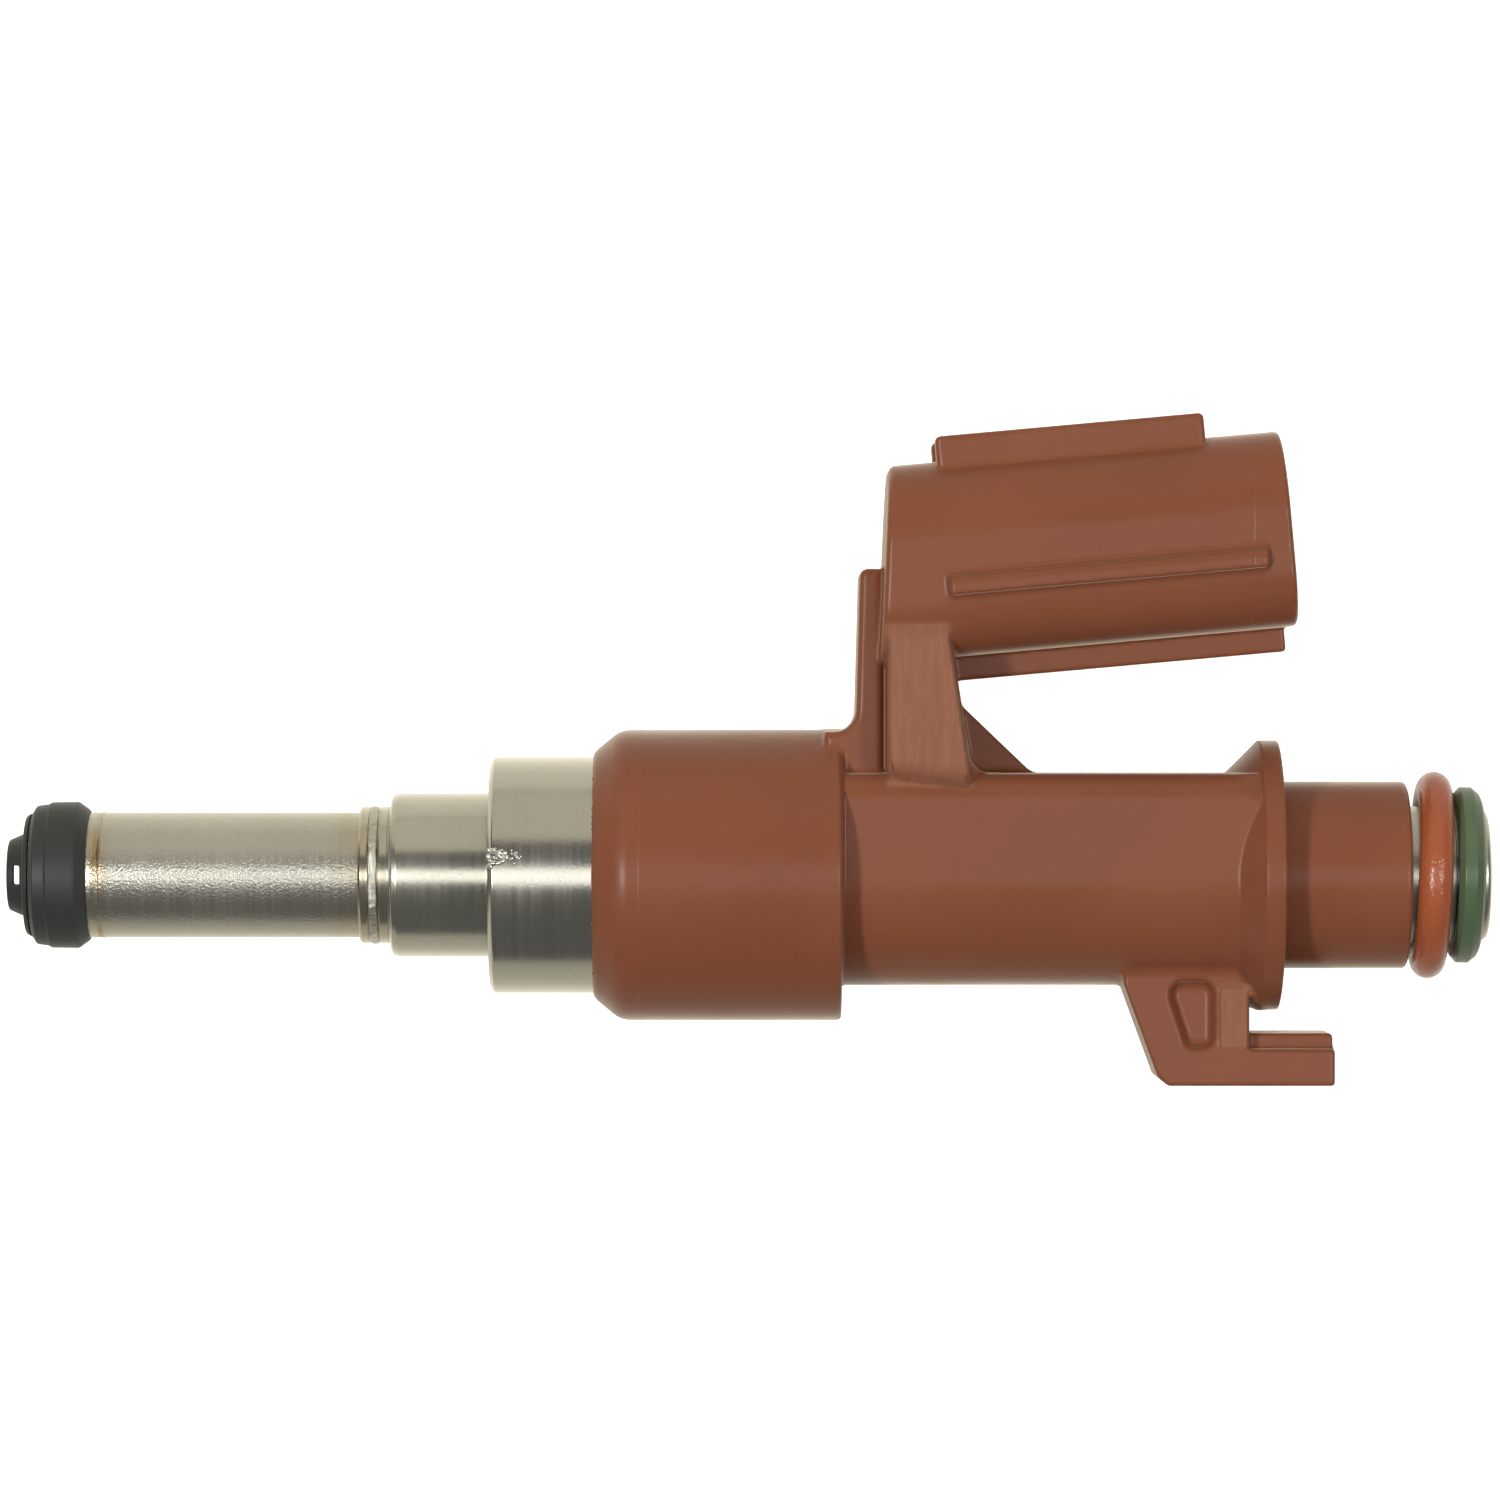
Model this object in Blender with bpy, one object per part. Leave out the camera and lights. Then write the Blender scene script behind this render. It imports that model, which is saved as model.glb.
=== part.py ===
"""Port fuel injector with a long steel nozzle, a moulded electrical socket and a rail inlet.

The injector lies along +X: the spray plate's outer face is at the origin and the fuel inlet is at
the +X end. +Y points towards the electrical socket and +Z is up with the injector on its side.
Lengths below are in millimetres and are turned into metres as each mesh is made.
"""
import math

import bmesh
import bpy
from mathutils import Matrix, Vector

MM = 0.001
ROUND = 36  # facets round every turned piece, so that nested pieces line up
GAP = 0.03  # radial clearance between nested pieces
SEAT_GAP = 0.02  # end clearance between touching pieces
ON_AXIS = 1e-4  # a profile point nearer the axis than this is a pole

# Nozzle: spray plate, seat, ball and the long holder tube
HOLDER_R = 3.295
HOLDER_BORE_R = 2.5
HOLDER_END_X = 19.6
PLATE_FACE_R = 1.15
PLATE_STEP_X = 0.16
PLATE_BACK_X = 0.32
BALL_R = 1.2
BALL_X = 2.3
SEAT_BACK_X = 1.95
GUIDE_BACK_X = 2.7
CAP_MOUTH_R = 1.3
CAP_FRONT_X = -1.08
CAP_REAR_X = 3.2

# Valve body: weld collar, shoulder and magnetic tube
COLLAR_X = 17.5
COLLAR_R = 3.62
SHOULDER_X = 19.15
SHOULDER_R = 4.31
HOUSING_X = 24.39
MAGNET_TUBE_R = 3.38
MAGNET_BORE_R = 2.72
MAGNET_TUBE_END_X = 28.2
RING_END_X = 30.4
LIFT = 0.1  # needle stroke

# Solenoid
HOUSING_R = 6.23
HOUSING_BORE_R = 5.6
HOUSING_END_X = 38.95
HOUSING_FLOOR_X = 26.0
HOUSING_RECESS = 0.1  # the valve body's shoulder sinks this far into the housing's face
ARMATURE_R = 2.66
ARMATURE_X = 24.7
CORE_FACE_X = 29.1
CORE_BORE_R = 1.55
CORE_END_X = 41.4
NEEDLE_R = 1.1
NEEDLE_BORE_R = 0.7
SPRING_TURNS = 6
SPRING_WIRE_R = 0.2
SPRING_COIL_R = 1.25
SPRING_START_X = 27.62
SPRING_END_X = 33.85
BOBBIN_X = 26.2
BOBBIN_END_X = 37.0
BOBBIN_FLANGE = 0.6
BOBBIN_FLANGE_R = 5.4
WASHER_X = 37.6

# Inlet tube, filter and rail seals
TUBE_R = 3.4
TUBE_BORE_R = 2.6
TUBE_END_X = 77.0
O_RING_X = 74.07
O_RING_R = 4.57  # to the centre of its section
O_RING_SECTION_R = 0.9
O_RING_SEAT_R = 3.63
O_RING_TILT = (0.0, math.radians(-1.5), math.radians(-1.3))
RETAINER_X = 75.18
RETAINER_END_X = 76.62
RETAINER_R = 4.66
RETAINER_SEAT_R = 3.45
FILTER_R = 1.95
FILTER_X = 66.2
FILTER_END_X = 75.5

# Moulded body
BODY_X = 29.75
BODY_END_X = 42.9
BODY_R = 7.68
BARREL_R = 5.82
BARREL_TOP_Y = 5.4
FLANGE_X = 64.86
FLANGE_END_X = 65.97
FLANGE_R = 7.12
SPIGOT_R = 4.93
SPIGOT_END_X = 72.75

# Electrical socket, on an axis tilted up towards the inlet
SOCKET_TILT = math.radians(5.13)
SOCKET_POINT = Vector((48.78, 16.66, 0.0))  # a point on its axis
SOCKET_REAR_X = 45.14
SOCKET_REAR_LEAN = 0.042  # the rear face leans towards the inlet going up
SOCKET_MOUTH = 17.56  # from SOCKET_POINT along the axis
SOCKET_FLOOR = 2.7
SOCKET_HALF_HEIGHT = 5.13
SOCKET_HALF_WIDTH = 6.95
SOCKET_WALL = 1.3
RAIL_RISE = 1.27  # guide rails above the socket, and the rail below it
TERMINAL_Z = 2.0
TERMINAL_TIP = 11.3
STEM_Y = (4.3, 4.8)
STEM_WIDTH = 1.3
STEM_RISE_X = (46.4, 46.9)
BLADE_WIDTH = 2.2
BLADE_THICKNESS = 0.64
CHANNEL_GAP = 0.05

# Arm and clip tab
ARM_PAD_Z = 6.5
TAB_Y = -11.04
TAB_Z = 3.05

SOCKET_AXIS = Vector((math.cos(SOCKET_TILT), math.sin(SOCKET_TILT), 0.0))
SOCKET_UP = Vector((-math.sin(SOCKET_TILT), math.cos(SOCKET_TILT), 0.0))
AXIS_Z = Vector((0.0, 0.0, 1.0))


# ---------------------------------------------------------------- helpers

def clear_scene():
    for obj in list(bpy.data.objects):
        bpy.data.objects.remove(obj, do_unlink=True)


def material(name, colour, roughness, metallic=0.0):
    mat = bpy.data.materials.new(name)
    mat.use_nodes = True
    shader = mat.node_tree.nodes["Principled BSDF"]
    shader.inputs["Base Color"].default_value = (*colour, 1.0)
    shader.inputs["Roughness"].default_value = roughness
    shader.inputs["Metallic"].default_value = metallic
    return mat


def add_object(name, bm, mat=None):
    """Makes an object from a closed bmesh drawn in millimetres."""
    bmesh.ops.scale(bm, vec=(MM, MM, MM), verts=bm.verts)
    bmesh.ops.recalc_face_normals(bm, faces=bm.faces)
    mesh = bpy.data.meshes.new(name)
    bm.to_mesh(mesh)
    bm.free()
    obj = bpy.data.objects.new(name, mesh)
    bpy.context.collection.objects.link(obj)
    if mat:
        mesh.materials.append(mat)
        mesh.shade_smooth()
        mesh.set_sharp_from_angle(angle=math.radians(35))
    else:
        obj.hide_render = True
        obj.display_type = "WIRE"
    return obj


def arc(centre, radius, start, end, steps):
    """Points along an arc in the plane of a profile; angles in degrees."""
    points = []
    for i in range(steps + 1):
        angle = math.radians(start + (end - start) * i / steps)
        points.append((centre[0] + radius * math.cos(angle), centre[1] + radius * math.sin(angle)))
    return points


def rounded(corners, steps=4):
    """Outline through corners given as (x, y, corner radius)."""
    outline = []
    count = len(corners)
    for i, (x, y, radius) in enumerate(corners):
        corner = Vector((x, y))
        if radius <= 0:
            outline.append((x, y))
            continue
        before = (Vector(corners[i - 1][:2]) - corner).normalized()
        after = (Vector(corners[(i + 1) % count][:2]) - corner).normalized()
        half = before.angle(after) / 2
        centre = corner + (before + after).normalized() * radius / math.sin(half)
        first = corner + before * radius / math.tan(half) - centre
        turn = first.angle_signed(corner + after * radius / math.tan(half) - centre)
        for step in range(steps + 1):
            outline.append(tuple(centre + Matrix.Rotation(-turn * step / steps, 2) @ first))
    return outline


def turned(name, profile, mat=None, facets=ROUND):
    """Turns a closed profile of (x, radius) points about the X axis."""
    bm = bmesh.new()
    verts = [bm.verts.new((x, 0.0, r)) for x, r in profile]
    edges = [bm.edges.new((verts[i - 1], verts[i])) for i in range(len(verts))
             if max(profile[i - 1][1], profile[i][1]) > ON_AXIS]
    bmesh.ops.spin(bm, geom=verts + edges, cent=(0, 0, 0), axis=(1, 0, 0), angle=2 * math.pi,
                   steps=facets, use_merge=True)
    bmesh.ops.remove_doubles(bm, verts=bm.verts, dist=ON_AXIS)
    return add_object(name, bm, mat)


def swept(name, outline, first, second, mat=None):
    """Skins between two copies of an outline; first and second turn (u, v) into 3-D points."""
    bm = bmesh.new()
    lower = [bm.verts.new(first(u, v)) for u, v in outline]
    upper = [bm.verts.new(second(u, v)) for u, v in outline]
    ends = [bm.faces.new(lower), bm.faces.new(list(reversed(upper)))]
    bmesh.ops.bridge_loops(bm, edges=[e for face in ends for e in face.edges])
    return add_object(name, bm, mat)


def plate(name, outline, z_low, z_high, mat=None):
    """Outline in the XY plane, given thickness along Z."""
    return swept(name, outline, lambda x, y: (x, y, z_low), lambda x, y: (x, y, z_high), mat)


def bar_along_x(name, outline, x_low, x_high):
    """Outline of (z, y) points, given length along X."""
    return swept(name, outline, lambda z, y: (x_low, y, z), lambda z, y: (x_high, y, z))


def socket_point(along, up, side):
    """Point in the socket's own directions: along its axis, up and sideways."""
    return SOCKET_POINT + SOCKET_AXIS * along + SOCKET_UP * up + AXIS_Z * side


def socket_bar(name, outline, start, end):
    """Outline of (side, up) points, given length along the socket's axis."""
    return swept(name, outline, lambda s, u: socket_point(start, u, s),
                 lambda s, u: socket_point(end, u, s))


def box(name, low, high):
    corners = [(low[0], low[1]), (high[0], low[1]), (high[0], high[1]), (low[0], high[1])]
    return plate(name, corners, low[2], high[2])


def combine(target, tool, operation):
    step = target.modifiers.new(tool.name, "BOOLEAN")
    step.operation = operation
    step.object = tool
    return target


def join_shapes(target, tools):
    for tool in tools:
        combine(target, tool, "UNION")


def cut_shapes(target, tools):
    for tool in tools:
        combine(target, tool, "DIFFERENCE")


# ---------------------------------------------------------------- nozzle

def make_cap(mat):
    """Black plastic nozzle guard with a hooded mouth and two side windows."""
    cap = turned("nozzle_cap", [
        (CAP_FRONT_X, CAP_MOUTH_R), (CAP_FRONT_X, 1.84), (-0.2, 2.22), (-0.14, 3.15), (-0.06, 3.24),
        (0.18, 3.27), (0.36, 3.68), (1.05, 3.75), (1.18, 3.85), (2.65, 3.87), (CAP_REAR_X, 3.45),
        (CAP_REAR_X, HOLDER_R + GAP), (0.12, HOLDER_R + GAP), (0.12, CAP_MOUTH_R)], mat)
    cut_shapes(cap, [box("cap_window_cutter", (-0.93, -0.52, -3.0), (-0.34, 0.52, 3.0))])


def make_spray_plate(mat):
    """Stepped orifice plate with a ring of metering holes."""
    disc = turned("spray_plate", [
        (0.0, 0.0), (0.0, PLATE_FACE_R), (PLATE_STEP_X, PLATE_FACE_R),
        (PLATE_STEP_X, HOLDER_BORE_R - GAP), (PLATE_BACK_X, HOLDER_BORE_R - GAP), (PLATE_BACK_X, 0.0)],
        mat)
    holes, hole_r, ring_r = 8, 0.09, 0.55
    cut_shapes(disc, [pierce(f"spray_hole_cutter_{i}", (i + 0.37) * math.tau / holes, ring_r, hole_r,
                             -1, 1, 8) for i in range(holes)])


def pierce(name, angle, ring_r, hole_r, x_low, x_high, facets):
    """Cylinder along X, standing at a radius and an angle from the axis."""
    y, z = ring_r * math.cos(angle), ring_r * math.sin(angle)
    outline = arc((z, y), hole_r, 0, 360 - 360 / facets, facets - 1)
    return bar_along_x(name, outline, x_low, x_high)


def make_valve(steel, guide_mat, ball_mat):
    """Conical seat, ball guide with flow holes, ball and hollow needle tube."""
    contact_x = BALL_X - BALL_R * math.cos(math.radians(45)) - SEAT_GAP * math.sqrt(2)
    contact_r = BALL_R * math.sin(math.radians(45))
    orifice_r = 0.5
    turned("valve_seat", [
        (PLATE_BACK_X + SEAT_GAP, orifice_r), (PLATE_BACK_X + SEAT_GAP, HOLDER_BORE_R - GAP),
        (SEAT_BACK_X, HOLDER_BORE_R - GAP), (SEAT_BACK_X, contact_r + SEAT_BACK_X - contact_x),
        (contact_x - contact_r + orifice_r, orifice_r)], steel)
    guide_x = SEAT_BACK_X + GAP
    guide = turned("ball_guide", [
        (guide_x, BALL_R + 0.05), (guide_x, HOLDER_BORE_R - GAP),
        (GUIDE_BACK_X, HOLDER_BORE_R - GAP), (GUIDE_BACK_X, BALL_R + 0.05)], guide_mat)
    cut_shapes(guide, [pierce(f"flow_hole_cutter_{i}", (i + 0.37) * math.tau / 5, 1.86, 0.32, 1, 4, 10)
                       for i in range(5)])
    turned("valve_ball", arc((BALL_X, 0.0), BALL_R, 180, 0, 14), ball_mat, 24)
    needle_x = BALL_X + math.sqrt(BALL_R ** 2 - NEEDLE_BORE_R ** 2) + SEAT_GAP
    needle_end = ARMATURE_X + 2.6
    needle = turned("needle_tube", [
        (needle_x, NEEDLE_BORE_R), (needle_x, NEEDLE_R), (needle_end, NEEDLE_R),
        (needle_end, NEEDLE_BORE_R)], steel, 24)
    cut_shapes(needle, [plate(f"cross_hole_cutter_{i}", arc((x, 0.0), 0.35, 15, 345, 11), -2.0, 2.0)
                        for i, x in enumerate((5.2, 22.4))])


def make_holder(mat):
    """Long thin nozzle tube that carries the seat."""
    turned("valve_holder", [
        (PLATE_STEP_X, HOLDER_BORE_R), (PLATE_STEP_X, HOLDER_R), (HOLDER_END_X, HOLDER_R),
        (HOLDER_END_X, HOLDER_BORE_R)], mat)


def make_valve_body(mat):
    """Weld collar, locating shoulder and the magnetic tube round the armature."""
    shoulder_end = HOUSING_X + HOUSING_RECESS - SEAT_GAP
    socket_end = HOLDER_END_X + 0.15
    turned("valve_body", [
        (COLLAR_X, HOLDER_R + GAP), (COLLAR_X, COLLAR_R - 0.2), (COLLAR_X + 0.2, COLLAR_R),
        (SHOULDER_X, COLLAR_R), (SHOULDER_X, SHOULDER_R - 0.35), (SHOULDER_X + 0.12, SHOULDER_R - 0.1),
        (SHOULDER_X + 0.4, SHOULDER_R), (shoulder_end, SHOULDER_R), (shoulder_end, MAGNET_TUBE_R),
        (MAGNET_TUBE_END_X, MAGNET_TUBE_R), (MAGNET_TUBE_END_X, MAGNET_BORE_R),
        (socket_end, MAGNET_BORE_R), (socket_end, HOLDER_R + GAP)], mat)


# ---------------------------------------------------------------- solenoid

def make_magnet_circuit(steel, ring_mat, core_mat):
    ring_x = MAGNET_TUBE_END_X + SEAT_GAP
    turned("nonmagnetic_ring", [
        (ring_x, MAGNET_BORE_R), (ring_x, MAGNET_TUBE_R), (RING_END_X, MAGNET_TUBE_R),
        (RING_END_X, MAGNET_BORE_R)], ring_mat)
    armature_end = CORE_FACE_X - LIFT - SEAT_GAP
    counterbore_x = ARMATURE_X + 2.65
    turned("armature", [
        (ARMATURE_X, NEEDLE_R + GAP), (ARMATURE_X, ARMATURE_R - 0.2), (ARMATURE_X + 0.2, ARMATURE_R),
        (armature_end, ARMATURE_R), (armature_end, CORE_BORE_R), (counterbore_x, CORE_BORE_R),
        (counterbore_x, NEEDLE_R + GAP)], core_mat)
    turned("fixed_core", [
        (CORE_FACE_X, CORE_BORE_R), (CORE_FACE_X, MAGNET_BORE_R - GAP),
        (RING_END_X + SEAT_GAP, MAGNET_BORE_R - GAP), (RING_END_X + SEAT_GAP, MAGNET_TUBE_R),
        (CORE_END_X, MAGNET_TUBE_R), (CORE_END_X, CORE_BORE_R)], core_mat)
    turned("solenoid_housing", [
        (HOUSING_X + HOUSING_RECESS, MAGNET_TUBE_R + GAP), (HOUSING_X + HOUSING_RECESS, SHOULDER_R + 0.07),
        (HOUSING_X, SHOULDER_R + 0.07), (HOUSING_X, HOUSING_R - 0.3), (HOUSING_X + 0.09, HOUSING_R - 0.09),
        (HOUSING_X + 0.3, HOUSING_R), (HOUSING_END_X, HOUSING_R), (HOUSING_END_X, HOUSING_BORE_R),
        (HOUSING_FLOOR_X, HOUSING_BORE_R), (HOUSING_FLOOR_X, MAGNET_TUBE_R + GAP)], steel)
    washer = turned("flux_washer", [
        (WASHER_X, MAGNET_TUBE_R + GAP), (WASHER_X, HOUSING_BORE_R - GAP),
        (HOUSING_END_X - GAP, HOUSING_BORE_R - GAP), (HOUSING_END_X - GAP, MAGNET_TUBE_R + GAP)], steel)
    cut_shapes(washer, [
        box(f"washer_slot_cutter_{side}", (WASHER_X - 1, STEM_Y[0] - 0.1, side * TERMINAL_Z - 0.8),
            (HOUSING_END_X + 1, 7.0, side * TERMINAL_Z + 0.8)) for side in (-1, 1)])


def make_coil(bobbin_mat, wire_mat):
    inner = MAGNET_TUBE_R + 2 * GAP
    drum_r = 3.95
    left, right = BOBBIN_X + BOBBIN_FLANGE, BOBBIN_END_X - BOBBIN_FLANGE
    turned("coil_bobbin", [
        (BOBBIN_X, inner), (BOBBIN_X, BOBBIN_FLANGE_R), (left, BOBBIN_FLANGE_R), (left, drum_r),
        (right, drum_r), (right, BOBBIN_FLANGE_R), (BOBBIN_END_X, BOBBIN_FLANGE_R),
        (BOBBIN_END_X, inner)], bobbin_mat)
    turned("coil_winding", [
        (left + GAP, drum_r + GAP), (left + GAP, BOBBIN_FLANGE_R - 0.35), (right - GAP, BOBBIN_FLANGE_R - 0.35),
        (right - GAP, drum_r + GAP)], wire_mat)


def make_spring(mat):
    """Return spring between the armature and the adjusting sleeve."""
    per_turn, sides = 14, 6
    rise = SPRING_END_X - SPRING_START_X
    steps = SPRING_TURNS * per_turn
    curve = bpy.data.curves.new("return_spring", "CURVE")
    curve.dimensions = "3D"
    curve.bevel_depth = SPRING_WIRE_R * MM
    curve.bevel_resolution = (sides - 4) // 2
    curve.use_fill_caps = True
    line = curve.splines.new("POLY")
    line.points.add(steps)
    for i in range(steps + 1):
        angle = math.tau * i / per_turn
        point = Vector((SPRING_START_X + rise * i / steps, SPRING_COIL_R * math.cos(angle),
                        SPRING_COIL_R * math.sin(angle))) * MM
        line.points[i].co = (*point, 1.0)
    spring = bpy.data.objects.new("return_spring", curve)
    curve.materials.append(mat)
    bpy.context.collection.objects.link(spring)


def make_adjusting_sleeve(mat):
    turned("adjusting_sleeve", [
        (SPRING_END_X + 0.3, 0.8), (SPRING_END_X + 0.3, CORE_BORE_R - GAP),
        (CORE_END_X - 0.4, CORE_BORE_R - GAP), (CORE_END_X - 0.4, 0.8)], mat, 24)


# ---------------------------------------------------------------- inlet

def make_inlet_tube(mat):
    """Fuel tube with the O-ring groove and a rolled end."""
    seat_x = SPIGOT_END_X + 0.05
    turned("inlet_tube", [
        (CORE_END_X + 0.05, TUBE_BORE_R), (CORE_END_X + 0.05, TUBE_R), (seat_x, TUBE_R),
        (seat_x, O_RING_SEAT_R), (RETAINER_X - SEAT_GAP, O_RING_SEAT_R),
        (RETAINER_X - SEAT_GAP, RETAINER_SEAT_R), (TUBE_END_X - 0.22, RETAINER_SEAT_R),
        (TUBE_END_X - 0.05, RETAINER_SEAT_R - 0.12), (TUBE_END_X, RETAINER_SEAT_R - 0.3),
        (TUBE_END_X, TUBE_BORE_R + 0.1), (TUBE_END_X - 0.1, TUBE_BORE_R)], mat)


def make_o_ring(mat):
    """Rubber ring in the groove, sitting slightly askew."""
    ring = turned("rail_o_ring", arc((0.0, O_RING_R), O_RING_SECTION_R, 0, 337.5, 15), mat)
    ring.location = (O_RING_X * MM, 0.0, 0.0)
    ring.rotation_euler = O_RING_TILT


def make_retainer(mat):
    turned("retainer_ring", [
        (RETAINER_X, RETAINER_SEAT_R + GAP), (RETAINER_X, RETAINER_R - 0.22), (RETAINER_X + 0.16, RETAINER_R),
        (76.1, RETAINER_R), (76.52, 4.33), (RETAINER_END_X, 4.05),
        (RETAINER_END_X, RETAINER_SEAT_R + GAP)], mat)


def make_filter(frame_mat, screen_mat):
    """Inlet strainer: a ribbed plastic basket round a fine screen cup."""
    frame_r = TUBE_BORE_R - 0.05
    collar_x = FILTER_END_X + 0.1
    collar_r = FILTER_R + 0.08
    frame = turned("filter_frame", [
        (collar_x, collar_r), (collar_x, frame_r), (TUBE_END_X - 0.4, frame_r),
        (TUBE_END_X - 0.4, collar_r)], frame_mat)
    end = turned("filter_end_adder", [
        (FILTER_X - 0.7, 0.0), (FILTER_X - 0.7, frame_r - 0.1), (FILTER_X - 0.1, frame_r - 0.1),
        (FILTER_X - 0.1, 0.0)])
    ribs = []
    for name, low, high in (
            ("up", (collar_r, -0.3), (frame_r - 0.15, 0.3)),
            ("down", (0.15 - frame_r, -0.3), (-collar_r, 0.3)),
            ("near", (-0.3, collar_r), (0.3, frame_r - 0.15)),
            ("far", (-0.3, 0.15 - frame_r), (0.3, -collar_r))):
        ribs.append(box(f"filter_rib_{name}", (FILTER_X - 0.4, *low), (collar_x + 0.3, *high)))
    join_shapes(frame, [*ribs, end])
    turned("filter_screen", [
        (FILTER_X, 0.0), (FILTER_X, FILTER_R), (FILTER_END_X, FILTER_R), (FILTER_END_X, FILTER_R - 0.08),
        (FILTER_X + 0.1, FILTER_R - 0.08), (FILTER_X + 0.1, 0.0)], screen_mat, 24)


# ---------------------------------------------------------------- moulded body and terminals

def terminal_shapes(name, side, grow, mat=None):
    """Bent stem from the coil up the arm, and the blade in the socket; grow thickens both."""
    axis_y = SOCKET_POINT.y + (STEM_RISE_X[1] - SOCKET_POINT.x) * math.tan(SOCKET_TILT)
    z = side * TERMINAL_Z
    stem = plate(name, [
        (BOBBIN_END_X + 0.12 - grow, STEM_Y[0] - grow), (STEM_RISE_X[1] + grow, STEM_Y[0] - grow),
        (STEM_RISE_X[1] + grow, axis_y), (STEM_RISE_X[0] - grow, axis_y),
        (STEM_RISE_X[0] - grow, STEM_Y[1] + grow), (BOBBIN_END_X + 0.12 - grow, STEM_Y[1] + grow)],
        z - STEM_WIDTH / 2 - grow, z + STEM_WIDTH / 2 + grow, mat)
    half_w, half_t = BLADE_WIDTH / 2 + grow, BLADE_THICKNESS / 2 + grow
    corners = [(z - half_w, -half_t), (z + half_w, -half_t), (z + half_w, half_t), (z - half_w, half_t)]
    start = (STEM_RISE_X[0] - SOCKET_POINT.x) / math.cos(SOCKET_TILT) - grow
    return stem, socket_bar(f"{name}_blade", corners, start, TERMINAL_TIP)


def make_terminals(mat):
    for side, name in ((-1, "terminal_a"), (1, "terminal_b")):
        stem, blade = terminal_shapes(name, side, 0.0, mat)
        combine(stem, blade, "UNION")


def oval(inset, steps):
    """Section of the socket as (side, up) points: fuller corners on top than below."""
    w, h = SOCKET_HALF_WIDTH - inset, SOCKET_HALF_HEIGHT - inset
    return rounded([(-w, -h, 3.1 - inset * 0.6), (w, -h, 3.1 - inset * 0.6),
                    (w, h, 4.3 - inset * 0.8), (-w, h, 4.3 - inset * 0.8)], steps)


def socket_body(name):
    """Tilted oval sleeve blank whose rear face stands upright."""
    def rear(side, up):
        return socket_point(along_socket(SOCKET_REAR_X + SOCKET_REAR_LEAN * up, up), up, side)
    return swept(name, oval(0.0, 5), rear, lambda s, u: socket_point(SOCKET_MOUTH, u, s))


def along_socket(x, up):
    """Distance along the socket's axis at which a line this far above it reaches x."""
    return (x - SOCKET_POINT.x + up * math.sin(SOCKET_TILT)) / math.cos(SOCKET_TILT)


def rect(low, high):
    return [(low[0], low[1]), (high[0], low[1]), (high[0], high[1]), (low[0], high[1])]


def socket_features():
    """Guide rails and latch ramp on top, one rail below and a rib along each side."""
    top = SOCKET_HALF_HEIGHT
    sink = 0.6
    shapes = []
    for side in (-1, 1):
        rail = rect((side * 3.0, top - 1.2), (side * 4.6, top + RAIL_RISE))
        shapes.append(socket_bar(f"guide_rail_adder_{side}", rail, along_socket(47.65, top),
                                 along_socket(61.9, top)))
        rib = rect((side * (SOCKET_HALF_WIDTH - sink), -2.0), (side * (BODY_R - 0.02), -1.0))
        shapes.append(socket_bar(f"side_rib_adder_{side}", rib, along_socket(48.35, 0),
                                 along_socket(64.85, 0)))
    shapes.append(socket_bar("lower_rail_adder", rect((-1.0, -top - RAIL_RISE), (1.0, sink - top)),
                             along_socket(46.0, -top), along_socket(66.27, -top)))
    ramp_start, ramp_end = along_socket(58.2, top), along_socket(61.2, top)
    ramp = [(ramp_start, top - sink), (ramp_end, top - sink), (ramp_end, top + 0.15),
            (ramp_start + 0.4, top + 1.0), (ramp_start, top + 1.0)]
    shapes.append(swept("latch_ramp_adder", ramp, lambda a, u: socket_point(a, u, -1.5),
                        lambda a, u: socket_point(a, u, 1.5)))
    return shapes


def arm_shapes():
    """Arm that carries the socket, its raised side pads, the fin behind it and the gusset in front."""
    core = rounded([(45.3, 3.0, 0), (51.2, 3.0, 0), (51.2, 5.36, 0), (49.72, 5.36, 1.2), (48.45, 13.3, 0),
                    (48.3, 15.5, 0), (45.3, 15.5, 0)], 5)
    pads = [(45.38, 5.25), (49.62, 4.62), (48.35, 13.1), (48.15, 15.0), (45.38, 15.0)]
    fin = rounded([(42.0, 4.9, 0), (46.0, 4.9, 0), (46.0, 16.1, 0), (43.85, 16.1, 0.4),
                   (43.62, 7.56, 1.1), (42.0, 7.56, 0)], 5)
    gusset = [(48.2, 4.9), (53.5, 4.9), (52.95, 5.42), (48.8, 9.4), (48.2, 9.4)]
    return [plate("arm_adder", core, -5.6, 5.6), plate("arm_pad_adder", pads, -ARM_PAD_Z, ARM_PAD_Z),
            plate("fin_adder", fin, -4.0, 4.0), plate("gusset_adder", gusset, -1.0, 1.0)]


def tab_shapes():
    """Hook under the rail flange that the retaining clip locks behind."""
    web = rounded([(57.6, -4.2, 0), (57.75, -5.75, 0), (59.6, -10.42, 0.5), (60.3, TAB_Y, 0.3),
                   (68.8, TAB_Y, 0.15), (68.8, -9.1, 0.15), (64.38, -9.1, 0), (64.38, -6.5, 0),
                   (65.3, -6.0, 0), (65.3, -4.2, 0)], 2)
    finger = rounded([(62.0, -10.0, 0), (68.68, -10.0, 0), (68.68, -8.3, 0.3), (62.0, -8.3, 0)], 3)
    return [plate("tab_adder", web, -TAB_Z, TAB_Z), plate("finger_adder", finger, -2.1, 2.1)]


def tab_pockets():
    """Tapered sink pocket on each side of the tab."""
    pocket = rounded([(60.0, -6.55, 0.5), (62.1, -6.55, 0.5), (62.1, -9.25, 0.5), (61.05, -9.25, 0.45)], 3)
    return [plate("pocket_cutter_near", pocket, 2.3, 4.0), plate("pocket_cutter_far", pocket, -4.0, -2.3)]


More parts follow.
